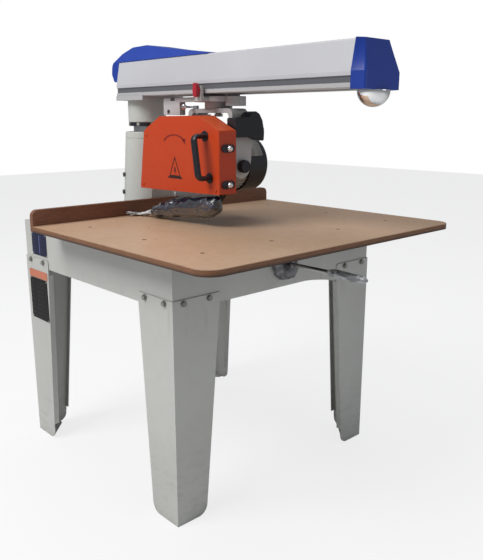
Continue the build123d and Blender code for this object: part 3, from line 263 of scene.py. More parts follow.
def plastic(name, color, rough, var, grainy, coat=0.0, scratch=0.1, dust=None):
    """Moulded plastic: fine grain, scratches, lighter rubbed edges and dust."""
    mat = Surface(name)
    col = mat.tone(color, scale=4, dark=1 - var, light=1 + var, lo=0.3, hi=0.7)
    scratches = mat.patches(0.60, 0.68, scale=11, detail=8, rough=0.75,
                            stretch=(1, 9, 3), seed=3)
    lighter = tuple(min(1, c * 1.3 + 0.03) for c in color)
    col = mat.over(col, lighter, scratches, scratch)
    col = mat.over(col, lighter, mat.edge(0.0018), amount=0.22)
    if dust is not None:
        col = mat.dusted(col, dust, slope=0.4, scale=24, thin=0.05, hi=0.75, thick=0.4)
    gloss = mat.vary(mat.noise(scale=16, detail=5, seed=4), amount=0.2,
                     base=rough - 0.1, clamp=True)
    mat.bump(mat.noise(scale=300, detail=3, seed=5), strength=grainy, distance=0.0005,
             bevel=0.0015)
    mat.finish(color=col, rough=gloss, coat=coat, coat_rough=0.2)


def mottled(name, dark, light, scale, detail=4, grain=150, strength=0.03, bevel=0, **looks):
    """Thin print or plate in two mottled tones."""
    mat = Surface(name)
    mat.finish(color=mat.mix(mat.noise(scale=scale, detail=detail), dark, light), **looks)
    mat.bump(mat.noise(scale=grain, detail=2), strength=strength, distance=0.0003, bevel=bevel)


def printed_plate(name, ground, ink, amount, rows, row_lo, words, word_lo, relief, **looks):
    """Plate with level rows of print, broken into words by stretched noise.

    rows sets how close the rows lie, words is the pattern that breaks them, and relief
    holds the grain's scale and detail with the bump's strength and bevel.
    """
    mat = Surface(name)
    wave = mat.math("PINGPONG", mat.times(mat.axis("z"), rows), 0.5)
    lines = mat.ramp(wave, lo=row_lo, hi=row_lo + 0.06)
    lines = mat.times(lines, mat.patches(word_lo, word_lo + 0.05, detail=3, **words))
    mat.finish(color=mat.over(ground, ink, lines, amount), **looks)
    mat.bump(mat.noise(scale=relief["scale"], detail=relief["detail"]),
             strength=relief["strength"], distance=0.0003, bevel=relief["bevel"])


def creased_film(name, dark, light, creases, rough_span, rough_base, strength, distance,
                 **looks):
    """Glossy sheet with painted highlights along its creases."""
    mat = Surface(name)
    folds = mat.noise(detail=6, rough=0.65, seed=4, dist=1.0, **creases)
    # painted highlight: the light colour on the folds
    mat.finish(color=mat.mix(mat.ramp(folds, lo=0.4, hi=0.65), dark, light),
               rough=mat.vary(folds, rough_span, rough_base), **looks)
    mat.bump(folds, strength, distance, bevel=0)


# ------------------------------------------------------------------ single materials
def stand_enamel():
    """Grey enamel of the stand, with dark runs under the leg bolts, patchy painted shade in
    corners and scuffed feet.
    """
    color = srgb(190, 191, 187)
    mat = Surface("enamel_stand")
    col = mat.tone(color, scale=1.8, dark=0.93, light=1.04)
    fine = mat.patches(0.45, 0.75, top=0.10, scale=34, detail=5, seed=2)
    col = mat.mix(fine, col, tint(color, 0.7))
    z = mat.axis("z")
    # painted shade: darker patches in corners and recesses
    corner_shade = mat.corner_shade(distance=0.05, lo=0.3, hi=0.8, thin=0.4)
    col = mat.over(col, tint(color, 0.3), corner_shade, amount=0.4)
    # vertical runs below the bolt line
    runs = mat.patches(0.55, 0.68, scale=30, rough=0.6, stretch=(1, 1, 0.045), seed=12)
    zone = mat.band(z, lo=0.60, hi=0.684, soft=0.05)
    col = mat.over(col, tint(color, 0.45), mat.times(runs, zone), amount=0.35)
    # dust and kick marks towards the floor
    foot = mat.math("SUBTRACT", 1.0, mat.band(z, lo=0.16, hi=3.0, soft=0.28))
    marks = mat.patches(0.50, 0.66, scale=16, detail=8, rough=0.75, stretch=(1, 1, 3), seed=21)
    col = mat.over(col, tint(color, 0.42), mat.times(foot, marks), amount=0.4)
    scuff = mat.patches(0.62, 0.70, scale=7, detail=9, rough=0.75, stretch=(3, 3, 14), seed=5)
    col = mat.over(col, tint(color, 0.66), scuff, amount=0.12)
    col = mat.chipped(col, srgb(92, 86, 80), amount=0.65, lo=0.55, hi=0.62)
    gloss = mat.vary(mat.noise(scale=6, detail=5, seed=8), amount=0.18, base=0.34)
    gloss = mat.plus(gloss, corner_shade, amount=0.2, clamp=True)
    mat.bump(mat.noise(scale=240, detail=2, seed=9), strength=0.05, distance=0.0006)
    mat.finish(color=col, rough=gloss, coat=0.08, coat_rough=0.25)


def arm_enamel():
    """Pale enamel of the arm, with a dark band of painted shade along the groove at its foot and
    a milder painted shade on the foot below.
    """
    color = srgb(193, 194, 200)
    shade_band_lo, shade_band_hi = 1.2828, 1.3002
    mat = Surface("enamel_arm")
    col = mat.tone(color, scale=2.0, dark=0.95, light=1.04)
    z = mat.axis("z")
    # painted shade: a dark streaked band where the groove and the flank just above it lie in
    # shade
    shade_band = mat.band(z, shade_band_lo, shade_band_hi, soft=0.0012)
    foot = mat.band(z, lo=1.20, hi=shade_band_lo, soft=0.001)
    streak = mat.noise(scale=60, rough=0.6, stretch=(1, 0.02, 1), seed=11)
    col = mat.mix(shade_band, col, mat.mix(streak, srgb(84, 86, 92), srgb(108, 110, 116)))
    # painted shade: the foot below the band a little darker than the flank
    col = mat.mix(foot, col, srgb(182, 182, 184))
    # painted shade: darker patches in corners
    corner_shade = mat.corner_shade(distance=0.045, lo=0.3, hi=0.8, thin=0.4)
    col = mat.over(col, tint(color, 0.3), corner_shade, amount=0.35)
    # wiped smears along the flank and settled dust on top
    smear = mat.patches(0.55, 0.72, scale=5, detail=8, rough=0.7, stretch=(1, 0.35, 3), seed=5)
    col = mat.over(col, tint(color, 0.6), smear, amount=0.08)
    col = mat.dusted(col, srgb(186, 181, 172), slope=0.5, scale=22)
    col = mat.chipped(col, srgb(110, 108, 104), amount=0.5, lo=0.56, hi=0.62,
                      scale=52, radius=0.0016)
    gloss = mat.vary(mat.noise(scale=7, detail=5, seed=8), amount=0.16, base=0.27)
    mat.bump(mat.noise(scale=260, detail=2, seed=9), strength=0.04, distance=0.0006)
    mat.finish(color=col, rough=gloss, coat=0.2, coat_rough=0.2)


BRIGHT = ((0.80, 0.81, 0.82), (0.93, 0.93, 0.94))      # the two tones of chrome


def polished_chrome():
    """Chrome with a faint haze of finger marks."""
    mat = Surface("chrome_polished")
    haze = mat.noise(scale=26, detail=6, rough=0.7, seed=3)
    gloss = mat.vary(mat.ramp(haze, lo=0.45, hi=0.8), amount=0.12, base=0.035)
    mat.finish(color=mat.mix(haze, *BRIGHT), metal=1.0, rough=gloss)
    mat.bump(mat.noise(scale=9, detail=2, seed=5), strength=0.02, distance=0.001, bevel=0.0008)


def guard_fastener_chrome():
    """Blackened slotted washers, whose dark colour is also painted shade round the knobs, with
    bright domed nuts in front of them.
    """
    mat = Surface("chrome_on_black")
    dome = mat.band(mat.axis("y"), lo=-0.30, hi=-0.1506, soft=0.0008)
    haze = mat.noise(scale=40, detail=5, rough=0.7, seed=3)
    # painted shade: the washer's dark colour also stands for the shade round each knob
    washer = mat.mix(haze, srgb(34, 34, 42), srgb(70, 66, 72))
    # from washer to nut, metallic goes from 0.5 to 1 and roughness from 0.36 to 0.11
    mat.finish(color=mat.mix(dome, washer, mat.mix(haze, *BRIGHT)),
               metal=mat.math("MULTIPLY_ADD", dome, 0.5, 0.5),
               rough=mat.math("MULTIPLY_ADD", dome, -0.25, 0.36))
    mat.bump(mat.noise(scale=120, detail=3, seed=5), strength=0.04, distance=0.0006,
             bevel=0.0008)


def painted_bolt():
    """Bolt heads painted over with the stand, in a darker grey as painted shade, rubbed and
    rusting at the corners.
    """
    mat = Surface("bolt_painted")
    rust = mat.patches(0.5, 0.64, scale=90, detail=5, rough=0.7, seed=3)
    # painted shade: the heads are a darker grey than the stand's paint, for the shade they sit
    # in
    col = mat.mix(mat.noise(scale=40, seed=1), srgb(128, 128, 124), srgb(158, 158, 152))
    col = mat.over(col, srgb(74, 62, 52), mat.edge(0.001), amount=0.7)
    col = mat.over(col, srgb(96, 78, 62), rust, amount=0.5)
    mat.finish(color=col, rough=0.42, metal=0.25)
    mat.bump(mat.noise(scale=220, detail=3, seed=5), strength=0.15, distance=0.0006,
             bevel=0.0006)


def browned_screw():
    """Screw heads in the board."""
    mat = Surface("screw_browned")
    col = mat.mix(mat.noise(scale=120, seed=1), srgb(66, 48, 38), srgb(120, 96, 76))
    mat.finish(color=col, rough=0.5, metal=0.6)
    mat.bump(mat.noise(scale=300, detail=3, seed=5), strength=0.2, distance=0.0005,
             bevel=0.0004)


def table_board():
    """Sealed board: fine chip figure, drifting tone, handling marks, darker sawn edges with
    painted shade along their lower part.
    """
    mat = Surface("board_table")
    chips = mat.noise(scale=70, detail=6, rough=0.75, seed=1)
    fine_chips = mat.noise(scale=190, detail=3, rough=0.6, seed=7)
    slow = mat.noise(scale=2.4, seed=2)
    blot = mat.noise(scale=6.5, detail=5, rough=0.6, seed=3)
    top = mat.mix(mat.ramp(chips, lo=0.3, hi=0.7), srgb(176, 142, 112), srgb(194, 163, 134))
    top = mat.mix(mat.ramp(fine_chips, lo=0.52, hi=0.7, top=0.35), top, srgb(156, 120, 92))
    top = mat.mix(mat.ramp(slow, lo=0.35, hi=0.7, top=0.5), top, srgb(198, 168, 144))
    top = mat.mix(mat.ramp(blot, lo=0.55, hi=0.75, top=0.35), top, srgb(172, 136, 106))
    # scratches from stock pushed front to back, and small dark knocks
    scratches = mat.patches(0.655, 0.70, scale=26, detail=9, rough=0.8,
                            stretch=(1, 0.07, 1), seed=31, dist=0.4)
    top = mat.over(top, srgb(120, 88, 64), scratches, amount=0.28)
    knocks = mat.patches(0.735, 0.76, scale=19, detail=3, rough=0.5, seed=44)
    top = mat.over(top, srgb(92, 66, 48), knocks, amount=0.55)
    # darker band along the foot of the fence
    fence_band = mat.times(mat.band(mat.axis("y"), lo=0.300, hi=0.40, soft=0.03),
                       mat.ramp(chips, lo=0.3, hi=0.7, bottom=0.3, top=0.9))
    top = mat.over(top, srgb(118, 84, 60), fence_band, amount=0.45)
    top = mat.over(top, srgb(122, 84, 54), mat.edge(0.003), amount=0.6)
    layers = mat.noise(scale=30, detail=6, rough=0.7, stretch=(1, 1, 22), seed=9)
    side = mat.mix(mat.ramp(layers, lo=0.3, hi=0.7), srgb(98, 62, 38), srgb(140, 94, 58))
    # painted shade along the lower part of the board's sawn edge
    lower_edge_shade = mat.band(mat.axis("z"), lo=0.80, hi=0.8375, soft=0.006)
    side = mat.mix(lower_edge_shade, side, srgb(66, 42, 30))
    mat.finish(color=mat.mix(mat.upward(lo=0.55, hi=0.8), side, top),
               rough=mat.vary(blot, amount=0.2, base=0.40), coat=0.16, coat_rough=0.36)
    mat.bump(mat.plus(chips, layers, amount=0.6), strength=0.06, distance=0.0008, bevel=0.001)


def fence_board():
    """Layered brown board of the fence."""
    mat = Surface("board_fence")
    layers = mat.noise(scale=26, detail=6, rough=0.7, stretch=(1, 1, 9), seed=4)
    col = mat.mix(mat.ramp(layers, lo=0.3, hi=0.7), srgb(104, 66, 47), srgb(134, 90, 65))
    slow = mat.patches(0.4, 0.7, top=0.5, scale=5, seed=2)
    col = mat.mix(slow, col, srgb(100, 64, 46))
    col = mat.over(col, srgb(140, 100, 72), mat.edge(0.0025), amount=0.5)
    mat.finish(color=col, rough=0.55, coat=0.05)
    mat.bump(layers, strength=0.12, distance=0.0008, bevel=0.001)


def dark_film():
    """Dark wrinkled film round the lower guard; its dark base also paints the shade under the
    blade guard.
    """
    mat = Surface("film_wrap")
    folds = mat.noise(scale=22, detail=6, rough=0.65, stretch=(1, 0.35, 1), seed=1, dist=1.2)
    fine = mat.noise(scale=70, detail=5, rough=0.6, stretch=(1, 0.5, 1), seed=2, dist=0.8)
    # painted highlight: lilac on the fold ridges
    ridges = mat.ramp(folds, lo=0.52, hi=0.66)
    col = mat.mix(ridges, srgb(32, 36, 52), srgb(108, 108, 136))
    # painted shade in the fine creases
    creases = mat.ramp(fine, lo=0.38, hi=0.62, bottom=0.75, top=0)
    col = mat.mix(creases, col, srgb(24, 27, 38))
    mat.finish(color=col, rough=mat.vary(fine, amount=0.25, base=0.08), spec=0.8, coat=0.6,
               coat_rough=0.12, trans=0.12, ior=1.45)
    mat.bump(mat.plus(folds, fine, amount=0.5), strength=0.9, distance=0.004, bevel=0)


stand_enamel()
enamel("enamel_column", srgb(194, 197, 193), rough=0.40, coat=0.1, corner_shade_amount=0.4)
arm_enamel()
enamel("enamel_head", srgb(190, 191, 192), rough=0.36, coat=0.15, corner_shade_amount=0.55,
       chip=srgb(100, 98, 94))
enamel("enamel_orange", srgb(196, 64, 16), rough=0.40, coat=0.08, corner_shade_amount=0.4, peel=0.07,
       dust=srgb(222, 112, 60), chip=srgb(120, 70, 50))
enamel("enamel_motor", srgb(176, 168, 158), rough=0.48, coat=0.05, corner_shade_amount=0.5,
       dust=srgb(176, 168, 158))
enamel("enamel_black", srgb(24, 26, 34), rough=0.4, coat=0.15, corner_shade_amount=0.3,
       chip=srgb(80, 80, 82), dust=srgb(46, 47, 54))
plastic("plastic_blue", srgb(22, 60, 158), rough=0.40, var=0.07, grainy=0.06, coat=0.06,
        scratch=0.07, dust=srgb(44, 78, 164))
plastic("plastic_black", srgb(20, 22, 32), rough=0.40, var=0.2, grainy=0.12, scratch=0.06,
        dust=srgb(40, 41, 50))
plastic("plastic_red", srgb(176, 24, 46), rough=0.33, var=0.1, grainy=0.05, coat=0.3)
plastic("plastic_green", srgb(20, 112, 52), rough=0.35, var=0.1, grainy=0.05, coat=0.3)
metal("steel_ground", (0.56, 0.57, 0.58), rough=0.28, brushed=(1, 1, 0.08))
metal("steel_bar", (0.5, 0.5, 0.51), rough=0.3, brushed=(1, 0.05, 1), stain=(0.25, 0.2, 0.15))
metal("steel_shaft", (0.58, 0.58, 0.59), rough=0.25, brushed=(0.05, 1, 1))
metal("steel_blade", (0.6, 0.61, 0.63), rough=0.24, stain=(0.42, 0.40, 0.38), bump=0.03)
metal("zinc_plate", (0.62, 0.61, 0.56), rough=0.36, stain=(0.45, 0.42, 0.34), bump=0.08)
metal("cast_dark", (0.16, 0.16, 0.17), rough=0.55, bump=0.35, var=0.25)
metal("bronze", (0.62, 0.45, 0.2), rough=0.35, brushed=(1, 1, 0.2))
metal("copper_winding", (0.55, 0.27, 0.13), rough=0.4, brushed=(1, 0.05, 1), bump=0.3)
polished_chrome()
guard_fastener_chrome()
painted_bolt()
browned_screw()
plastic("plastic_pale", srgb(172, 174, 172), rough=0.5, var=0.08, grainy=0.1, scratch=0.05)
table_board()
fence_board()

# CAD pieces of each material
PIECES = {
    "enamel_stand": ("stand_frame", "leg_front_left", "leg_front_right", "leg_rear_left",
                     "leg_rear_right"),
    "bolt_painted": ("leg_bolts",),
    "board_table": ("table_top",),
    "screw_browned": ("wood_screws",),
    "board_fence": ("fence",),
    "enamel_column": ("column_base", "turret"),
    "enamel_arm": ("arm_beam",),
    "enamel_head": ("carriage_body", "yoke"),
    "enamel_orange": ("blade_guard",),
    "enamel_motor": ("motor_body", "motor_end_bell"),
    # lower_guard takes the black enamel as painted shade: the space under the blade guard lies
    # in shade
    "enamel_black": ("table_bearers", "column_collar", "motor_fan_cowl", "lower_guard"),
    "plastic_blue": ("arm_front_cap", "arm_rear_cover"),
    "plastic_black": ("motor_fan", "bevel_lock_knob", "guard_handle", "switch_box"),
    "plastic_red": ("carriage_lock_knob", "stop_button"),
    "plastic_green": ("start_button",),
    "plastic_pale": ("crank_handle",),
    "steel_ground": ("column_key", "column_post", "lift_screw", "thrust_bearing",
                     "roller_front_left", "roller_front_right", "roller_rear_left",
                     "roller_rear_right", "motor_bearings"),
    "steel_bar": ("crank_shaft", "arm_rails", "bevel_pins"),
    "steel_shaft": ("motor_rotor", "motor_shaft", "blade_flanges"),
    "steel_blade": ("saw_blade",),
    "zinc_plate": ("roller_axles", "swivel_pin", "arbor_nut"),
    "cast_dark": ("column_bolts", "screw_gear", "crank_pinion", "crank_bearing_front",
                  "crank_bearing_rear"),
    "bronze": ("lift_nut",),
    "copper_winding": ("motor_stator",),
    "chrome_polished": ("arm_lock_knob", "swivel_lock_lever"),
    "chrome_on_black": ("guard_knobs",),
}
for material_name, pieces in PIECES.items():
    for piece in pieces:
        slots = nodes[piece].data.materials
        slots.clear()
        slots.append(MATERIALS[material_name])


# ------------------------------------------------------------------ mesh helpers
def make(name, verts, faces, material, body, smooth=False):
    """Mesh object from points about the working axes, riding on a body."""
    mesh = bpy.data.meshes.new(name)
    mesh.from_pydata([(x, y + SET_BACK, z) for x, y, z in verts], [], faces)
    mesh.validate()
    mesh.update()
    if smooth:
        for polygon in mesh.polygons:
            polygon.use_smooth = True
    piece = bpy.data.objects.new(name, mesh)
    scene.collection.objects.link(piece)
    mesh.materials.append(MATERIALS[material])
    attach(piece, body)
    return piece


def joined(parts):
    verts, faces = [], []
    for part_verts, part_faces in parts:
        base = len(verts)
        verts += part_verts
        faces += [tuple(base + i for i in face) for face in part_faces]
    return verts, faces


def prism(outline, x_lo, x_hi):
    """Closed slab over an outline of (y, z) points, from x_lo to x_hi."""
    count = len(outline)
    verts = [(x, y, z) for x in (x_lo, x_hi) for y, z in outline]
    faces = [tuple(range(count - 1, -1, -1)), tuple(range(count, 2 * count))]
    for i in range(count):
        j = (i + 1) % count
        faces.append((i, j, count + j, count + i))
    return verts, faces


def ring_faces(rings, sides):
    """First cap, side quads and last cap of a stack of rings."""
    quads = []
    for i in range(rings - 1):
        for k in range(sides):
            j = (k + 1) % sides
            quads.append((i * sides + k, i * sides + j, (i + 1) * sides + j,
                          (i + 1) * sides + k))
    first = tuple(range(sides - 1, -1, -1))
    last = tuple((rings - 1) * sides + k for k in range(sides))
    return first, quads, last


def hex_bolt(centre, normal, across, height):
    """Hexagon bolt head with a chamfered crown and a washer beneath."""
    normal = Vector(normal).normalized()
    side = normal.orthogonal().normalized()
    other = normal.cross(side)
    centre = Vector(centre)
    corner = across / math.sqrt(3)
    seat = height * 0.16        # top of the washer

    def stack(levels, sides):
        """Solid through rings of (radius, height)."""
        verts = []
        for radius, level in levels:
            for k in range(sides):
                angle = 2 * math.pi * k / sides
                verts.append(centre + side * (radius * math.cos(angle))
                             + other * (radius * math.sin(angle)) + normal * level)
        first, quads, last = ring_faces(len(levels), sides)
        return verts, [first, *quads, last]

    washer = stack([(corner * 1.28, 0.0), (corner * 1.28, seat)], 24)
    head = stack([(corner, seat), (corner, height * 0.85), (corner * 0.82, height)], 6)
    return joined([washer, head])


def rectangle(y_lo, y_hi, z_lo, z_hi):
    return [(y_lo, z_lo), (y_hi, z_lo), (y_hi, z_hi), (y_lo, z_hi)]


def rounded(y_lo, y_hi, z_lo, z_hi, radius, steps=5):
    """Rectangle with rounded corners."""
    outline = []
    for y, z, start in ((y_hi - radius, z_hi - radius, 0), (y_lo + radius, z_hi - radius, 90),
                        (y_lo + radius, z_lo + radius, 180),
                        (y_hi - radius, z_lo + radius, 270)):
        for k in range(steps + 1):
            angle = math.radians(start + 90 * k / steps)
            outline.append((y + radius * math.cos(angle), z + radius * math.sin(angle)))
    return outline


# ------------------------------------------------------------------ column collar bolts
COLLAR_CENTRE = Vector((0, 0.4305, 1.171))
COLLAR_RADIUS = 0.0679
COLLAR_BOLTS = 8

parts = []
for k in range(COLLAR_BOLTS):
    angle = math.radians((205 + 360 // COLLAR_BOLTS * k) % 360)
    outward = Vector((math.cos(angle), math.sin(angle), 0))
    parts.append(hex_bolt(COLLAR_CENTRE + outward * COLLAR_RADIUS, outward,
                          across=0.009, height=0.0030))
make("collar_bolts", *joined(parts), "zinc_plate", "column")

# ------------------------------------------------------------------ signs on the guard's left
GUARD_X = -0.1400
INK_X = (GUARD_X - 0.0003, GUARD_X + 0.0001)

mottled("ink_guard", srgb(120, 26, 16), srgb(140, 34, 20), scale=60, grain=200,
        strength=0.05, rough=0.5)
mottled("ink_black", srgb(34, 18, 16), srgb(60, 30, 24), scale=60, grain=200,
        strength=0.05, rough=0.5)


def flat_arc(y, z, inner, outer, start, end, flatness=0.5, steps=40):
    """Band of an arc in degrees, with its height scaled by the flatness."""
    outline = []
    for radius, first, last in ((outer, start, end), (inner, end, start)):
        for k in range(steps + 1):
            angle = math.radians(first + (last - first) * k / steps)
            outline.append((y + radius * math.cos(angle),
                            z + radius * math.sin(angle) * flatness))
    return outline


def triangle_strips(y, z, width, height, inset):
    """Three strips of an upright triangle, inset by a share of the way to its centre."""
    outer = [(y - width / 2, z), (y + width / 2, z), (y, z + height)]
    mid_y, mid_z = y, z + height / 3
    inner = [(mid_y + (corner_y - mid_y) * (1 - inset), mid_z + (corner_z - mid_z) * (1 - inset))
             for corner_y, corner_z in outer]
    return [[outer[k], outer[(k + 1) % 3], inner[(k + 1) % 3], inner[k]] for k in range(3)]


# arc arrow
HEAD_Y, HEAD_Z = 0.0290, 1.1215
arrow = [
    flat_arc(0.082, 1.1120, inner=0.0505, outer=0.0600, start=16, end=158),
    [(HEAD_Y - 0.0060, HEAD_Z - 0.0120), (HEAD_Y - 0.0085, HEAD_Z + 0.0085),
     (HEAD_Y + 0.0100, HEAD_Z + 0.0020)],
]
make("guard_arrow_sign", *joined([prism(outline, *INK_X) for outline in arrow]),
     "ink_guard", "motor")

# triangle with a jagged mark inside and a bar below
SIGN_Y = 0.081
BAR_HALF = 0.038
# jagged mark: y from the sign's centre line, z
JAGGED_MARK = [(-0.003, 1.034), (0.004, 1.036), (0.001, 1.024), (0.006, 1.025),
               (-0.002, 1.010), (-0.001, 1.021), (-0.006, 1.020)]
sign = triangle_strips(SIGN_Y, 1.0035, width=0.062, height=0.067, inset=0.2)
sign.append([(SIGN_Y + y, z) for y, z in JAGGED_MARK])
sign.append(rectangle(SIGN_Y - BAR_HALF, SIGN_Y + BAR_HALF, 0.9975, 1.0032))
make("guard_warning_sign", *joined([prism(outline, *INK_X) for outline in sign]),
     "ink_black", "motor")

# ------------------------------------------------------------------ plates on the left side
PLATE_THICK = 0.0011
APRON_PLATE_X = -0.4402                     # outer face
LEG_PLATE_X = -0.4432                       # outer face
BLUE_PLATE = (0.442, 0.552, 0.713, 0.795)   # y_lo, y_hi, z_lo, z_hi
DARK_PLATE = (0.453, 0.583, 0.469, 0.625)
ORANGE_PLATE = (0.4475, 0.583, 0.627, 0.655)
SMOOTH_RELIEF = {"scale": 150, "detail": 2, "strength": 0.03, "bevel": 0.0005}

printed_plate("plate_blue", srgb(12, 18, 56), srgb(120, 128, 160), amount=0.14,
              rows=90.0, row_lo=0.30, word_lo=0.45, relief=SMOOTH_RELIEF,
              words={"scale": 40, "stretch": (1, 1, 0.05), "seed": 2}, rough=0.5, spec=0.3)
printed_plate("plate_black", srgb(9, 9, 12), srgb(120, 118, 116), amount=0.08,
              rows=60.0, row_lo=0.28, word_lo=0.47, relief=SMOOTH_RELIEF,
              words={"scale": 55, "stretch": (1, 1, 0.05), "seed": 5}, rough=0.55, spec=0.25)
mottled("plate_orange", srgb(186, 100, 68), srgb(204, 120, 86), scale=30, bevel=0.0005,
        rough=0.4, coat=0.1)
mottled("plate_bar", srgb(70, 84, 140), srgb(96, 108, 160), scale=80, detail=3, rough=0.4)


def plate(name, box, radius, face_x, material):
    make(name, *prism(rounded(*box, radius), face_x, face_x + PLATE_THICK), material, "stand")


plate("plate_blue_side", BLUE_PLATE, 0.004, APRON_PLATE_X, "plate_blue")
make("plate_blue_bar", *prism(rectangle(0.494, 0.4985, 0.722, 0.786),
                              APRON_PLATE_X - 0.0003, APRON_PLATE_X), "plate_bar", "stand")
plate("plate_dark_leg", DARK_PLATE, 0.004, LEG_PLATE_X, "plate_black")
plate("plate_orange_leg", ORANGE_PLATE, 0.003, LEG_PLATE_X, "plate_orange")

# rivets at the plate corners: plate, outer face, inset along y, inset along z
parts = []
for (y_lo, y_hi, z_lo, z_hi), face_x, inset_y, inset_z in (
        (BLUE_PLATE, APRON_PLATE_X, 0.0045, 0.0045), (DARK_PLATE, LEG_PLATE_X, 0.0045, 0.005)):
    for y in (y_lo + inset_y, y_hi - inset_y):
        for z in (z_lo + inset_z, z_hi - inset_z):
            parts.append(hex_bolt((face_x, y, z), (-1, 0, 0), across=0.0035, height=0.0012))
make("plate_rivets", *joined(parts), "zinc_plate", "stand")

# ------------------------------------------------------------------ motor nameplate
printed_plate("plate_silver", srgb(150, 148, 144), srgb(100, 98, 96), amount=0.4,
              rows=110.0, row_lo=0.30, word_lo=0.47,
              words={"scale": 90, "stretch": (1, 0.1, 0.1), "seed": 5},
              relief={"scale": 200, "detail": 3, "strength": 0.05, "bevel": 0},
              rough=0.36, metal=0.3)


def motor_nameplate():
    """Plate curved round the front of the fan cowl, about an axis along x."""
    axis_y, axis_z = 0.0175, 1.040
    radii = (0.0936, 0.0942)
    x_ends = (0.066, 0.122)
    start, sweep = 122, 40      # degrees, from +y towards +z
    steps = 16
    verts, faces = [], []
    for radius in radii:
        for k in range(steps + 1):
            angle = math.radians(start + sweep * k / steps)
            for x in x_ends:
                verts.append((x, axis_y + radius * math.cos(angle),
                              axis_z + radius * math.sin(angle)))
    skin = 2 * (steps + 1)      # index of the first point of the outer face
    for i in range(0, 2 * steps, 2):
        faces.append((skin + i, skin + i + 1, skin + i + 3, skin + i + 2))
        faces.append((i, i + 2, i + 3, i + 1))
        faces.append((i, skin + i, skin + i + 2, i + 2))
        faces.append((i + 1, i + 3, skin + i + 3, skin + i + 1))
    end = 2 * steps
    faces.append((0, 1, skin + 1, skin))
    faces.append((end, skin + end, skin + end + 1, end + 1))
    make("motor_nameplate", verts, faces, "plate_silver", "motor", smooth=True)


motor_nameplate()

# ------------------------------------------------------------------ guard screws
GUARD_SCREWS = [(0.265, 0.966), (0.238, 1.135), (-0.128, 0.972)]    # y, z
parts = [hex_bolt((GUARD_X, y, z), (-1, 0, 0), across=0.006, height=0.0028)
         for y, z in GUARD_SCREWS]
make("guard_screws", *joined(parts), "enamel_orange", "motor")

# ------------------------------------------------------------------ transport film
FILM_FLOOR = 0.8512     # film over the table is kept above this height

dark_film()
creased_film("film_clear", srgb(128, 130, 134), srgb(226, 228, 232),
             creases={"scale": 60, "stretch": (1, 0.4, 1)}, rough_span=0.2, rough_base=0.1,
             strength=0.8, distance=0.002, spec=0.8, coat=0.5, coat_rough=0.1, trans=0.1)
creased_film("film_smoke", srgb(62, 62, 66), srgb(134, 134, 138), creases={"scale": 30},
             rough_span=0.3, rough_base=0.15, strength=0.9, distance=0.003,
             spec=0.7, coat=0.4, coat_rough=0.2)


def film(name, stations, rings, around, depth, frequency, material, seed, body="motor",
         floor=None):
    """Wrinkled sheet round a path; stations are (x, y, z, half width, half height)."""
    stations = np.array(stations, float)
    marks = np.arange(len(stations))
    path = np.array([[np.interp(t, marks, stations[:, k]) for k in range(5)]
                     for t in np.linspace(0, len(stations) - 1, rings)])
    for _ in range(6):
        path[1:-1] = (path[:-2] + 2 * path[1:-1] + path[2:]) / 4
    verts = []
    for i in range(rings):
        centre = Vector(path[i, :3])
        along = Vector(path[min(i + 1, rings - 1), :3] - path[max(i - 1, 0), :3]).normalized()
        side = Vector((1, 0, 0)) - along * along.x
        side.normalize()
        up = side.cross(along)
        if up.z < 0:
            up = -up
        for k in range(around):
            angle = 2 * math.pi * k / around
            point = (centre + side * (path[i, 3] * math.cos(angle))
                     + up * (path[i, 4] * math.sin(angle)))
            outward = (point - centre).normalized()
            # three octaves of wrinkles plus sharp ridges, drawn out along y
            spot = (Vector((point.x, point.y * 0.45, point.z)) * frequency
                    + Vector((seed, 2.3 * seed, 0)))
            wrinkle = (noise.noise(spot) + 0.55 * noise.noise(spot * 2.3)
                       + 0.3 * noise.noise(spot * 5.1))
            ridge = 1 - abs(noise.noise(spot * 1.4 + Vector((9, 3, 1)))) * 3
            point = point + outward * (depth * (wrinkle * 0.8 + 0.5 * max(ridge, -0.6)))
            if floor is not None and point.z < floor:
                point.z = floor + 0.0004 * (1 + noise.noise(point * 90))
            verts.append(point)
    first, quads, last = ring_faces(rings, around)
    return make(name, verts, quads + [first, last], material, body, smooth=True)


# station columns: x, y, z, half width, half height
GUARD_FILM = [
    (-0.122, -0.112, 0.945, 0.012, 0.010),
    (-0.118, -0.096, 0.925, 0.026, 0.026),
    (-0.114, -0.060, 0.912, 0.032, 0.034),
    (-0.112, 0.000, 0.905, 0.034, 0.033),
    (-0.112, 0.060, 0.900, 0.034, 0.031),
    (-0.115, 0.120, 0.893, 0.034, 0.029),
    (-0.120, 0.175, 0.883, 0.031, 0.024),
    (-0.126, 0.215, 0.872, 0.024, 0.017),
]
FILM_TAIL = [
    (-0.124, 0.195, 0.876, 0.022, 0.017),
    (-0.128, 0.225, 0.869, 0.015, 0.011),
    (-0.134, 0.255, 0.862, 0.010, 0.007),
    (-0.142, 0.280, 0.858, 0.014, 0.005),
    (-0.152, 0.300, 0.8555, 0.020, 0.0035),
    (-0.160, 0.312, 0.8575, 0.022, 0.0030),
]
CRANK_FILM = [
    (0, -0.474, 0.748, 0.0080, 0.0080), (0, -0.486, 0.748, 0.0112, 0.0112),
    (0, -0.500, 0.748, 0.0122, 0.0122), (0, -0.550, 0.748, 0.0124, 0.0124),
    (0, -0.590, 0.748, 0.0120, 0.0120), (0, -0.608, 0.7475, 0.0085, 0.0085),
    (0, -0.616, 0.747, 0.0040, 0.0045),
]
BEARING_BAG = [
    (0, -0.2925, 0.747, 0.043, 0.043), (0, -0.297, 0.746, 0.0495, 0.0495),
    (0, -0.305, 0.744, 0.050, 0.051), (0, -0.314, 0.743, 0.041, 0.045),
    (0, -0.320, 0.745, 0.028, 0.030), (0, -0.3245, 0.748, 0.0180, 0.0180),
]
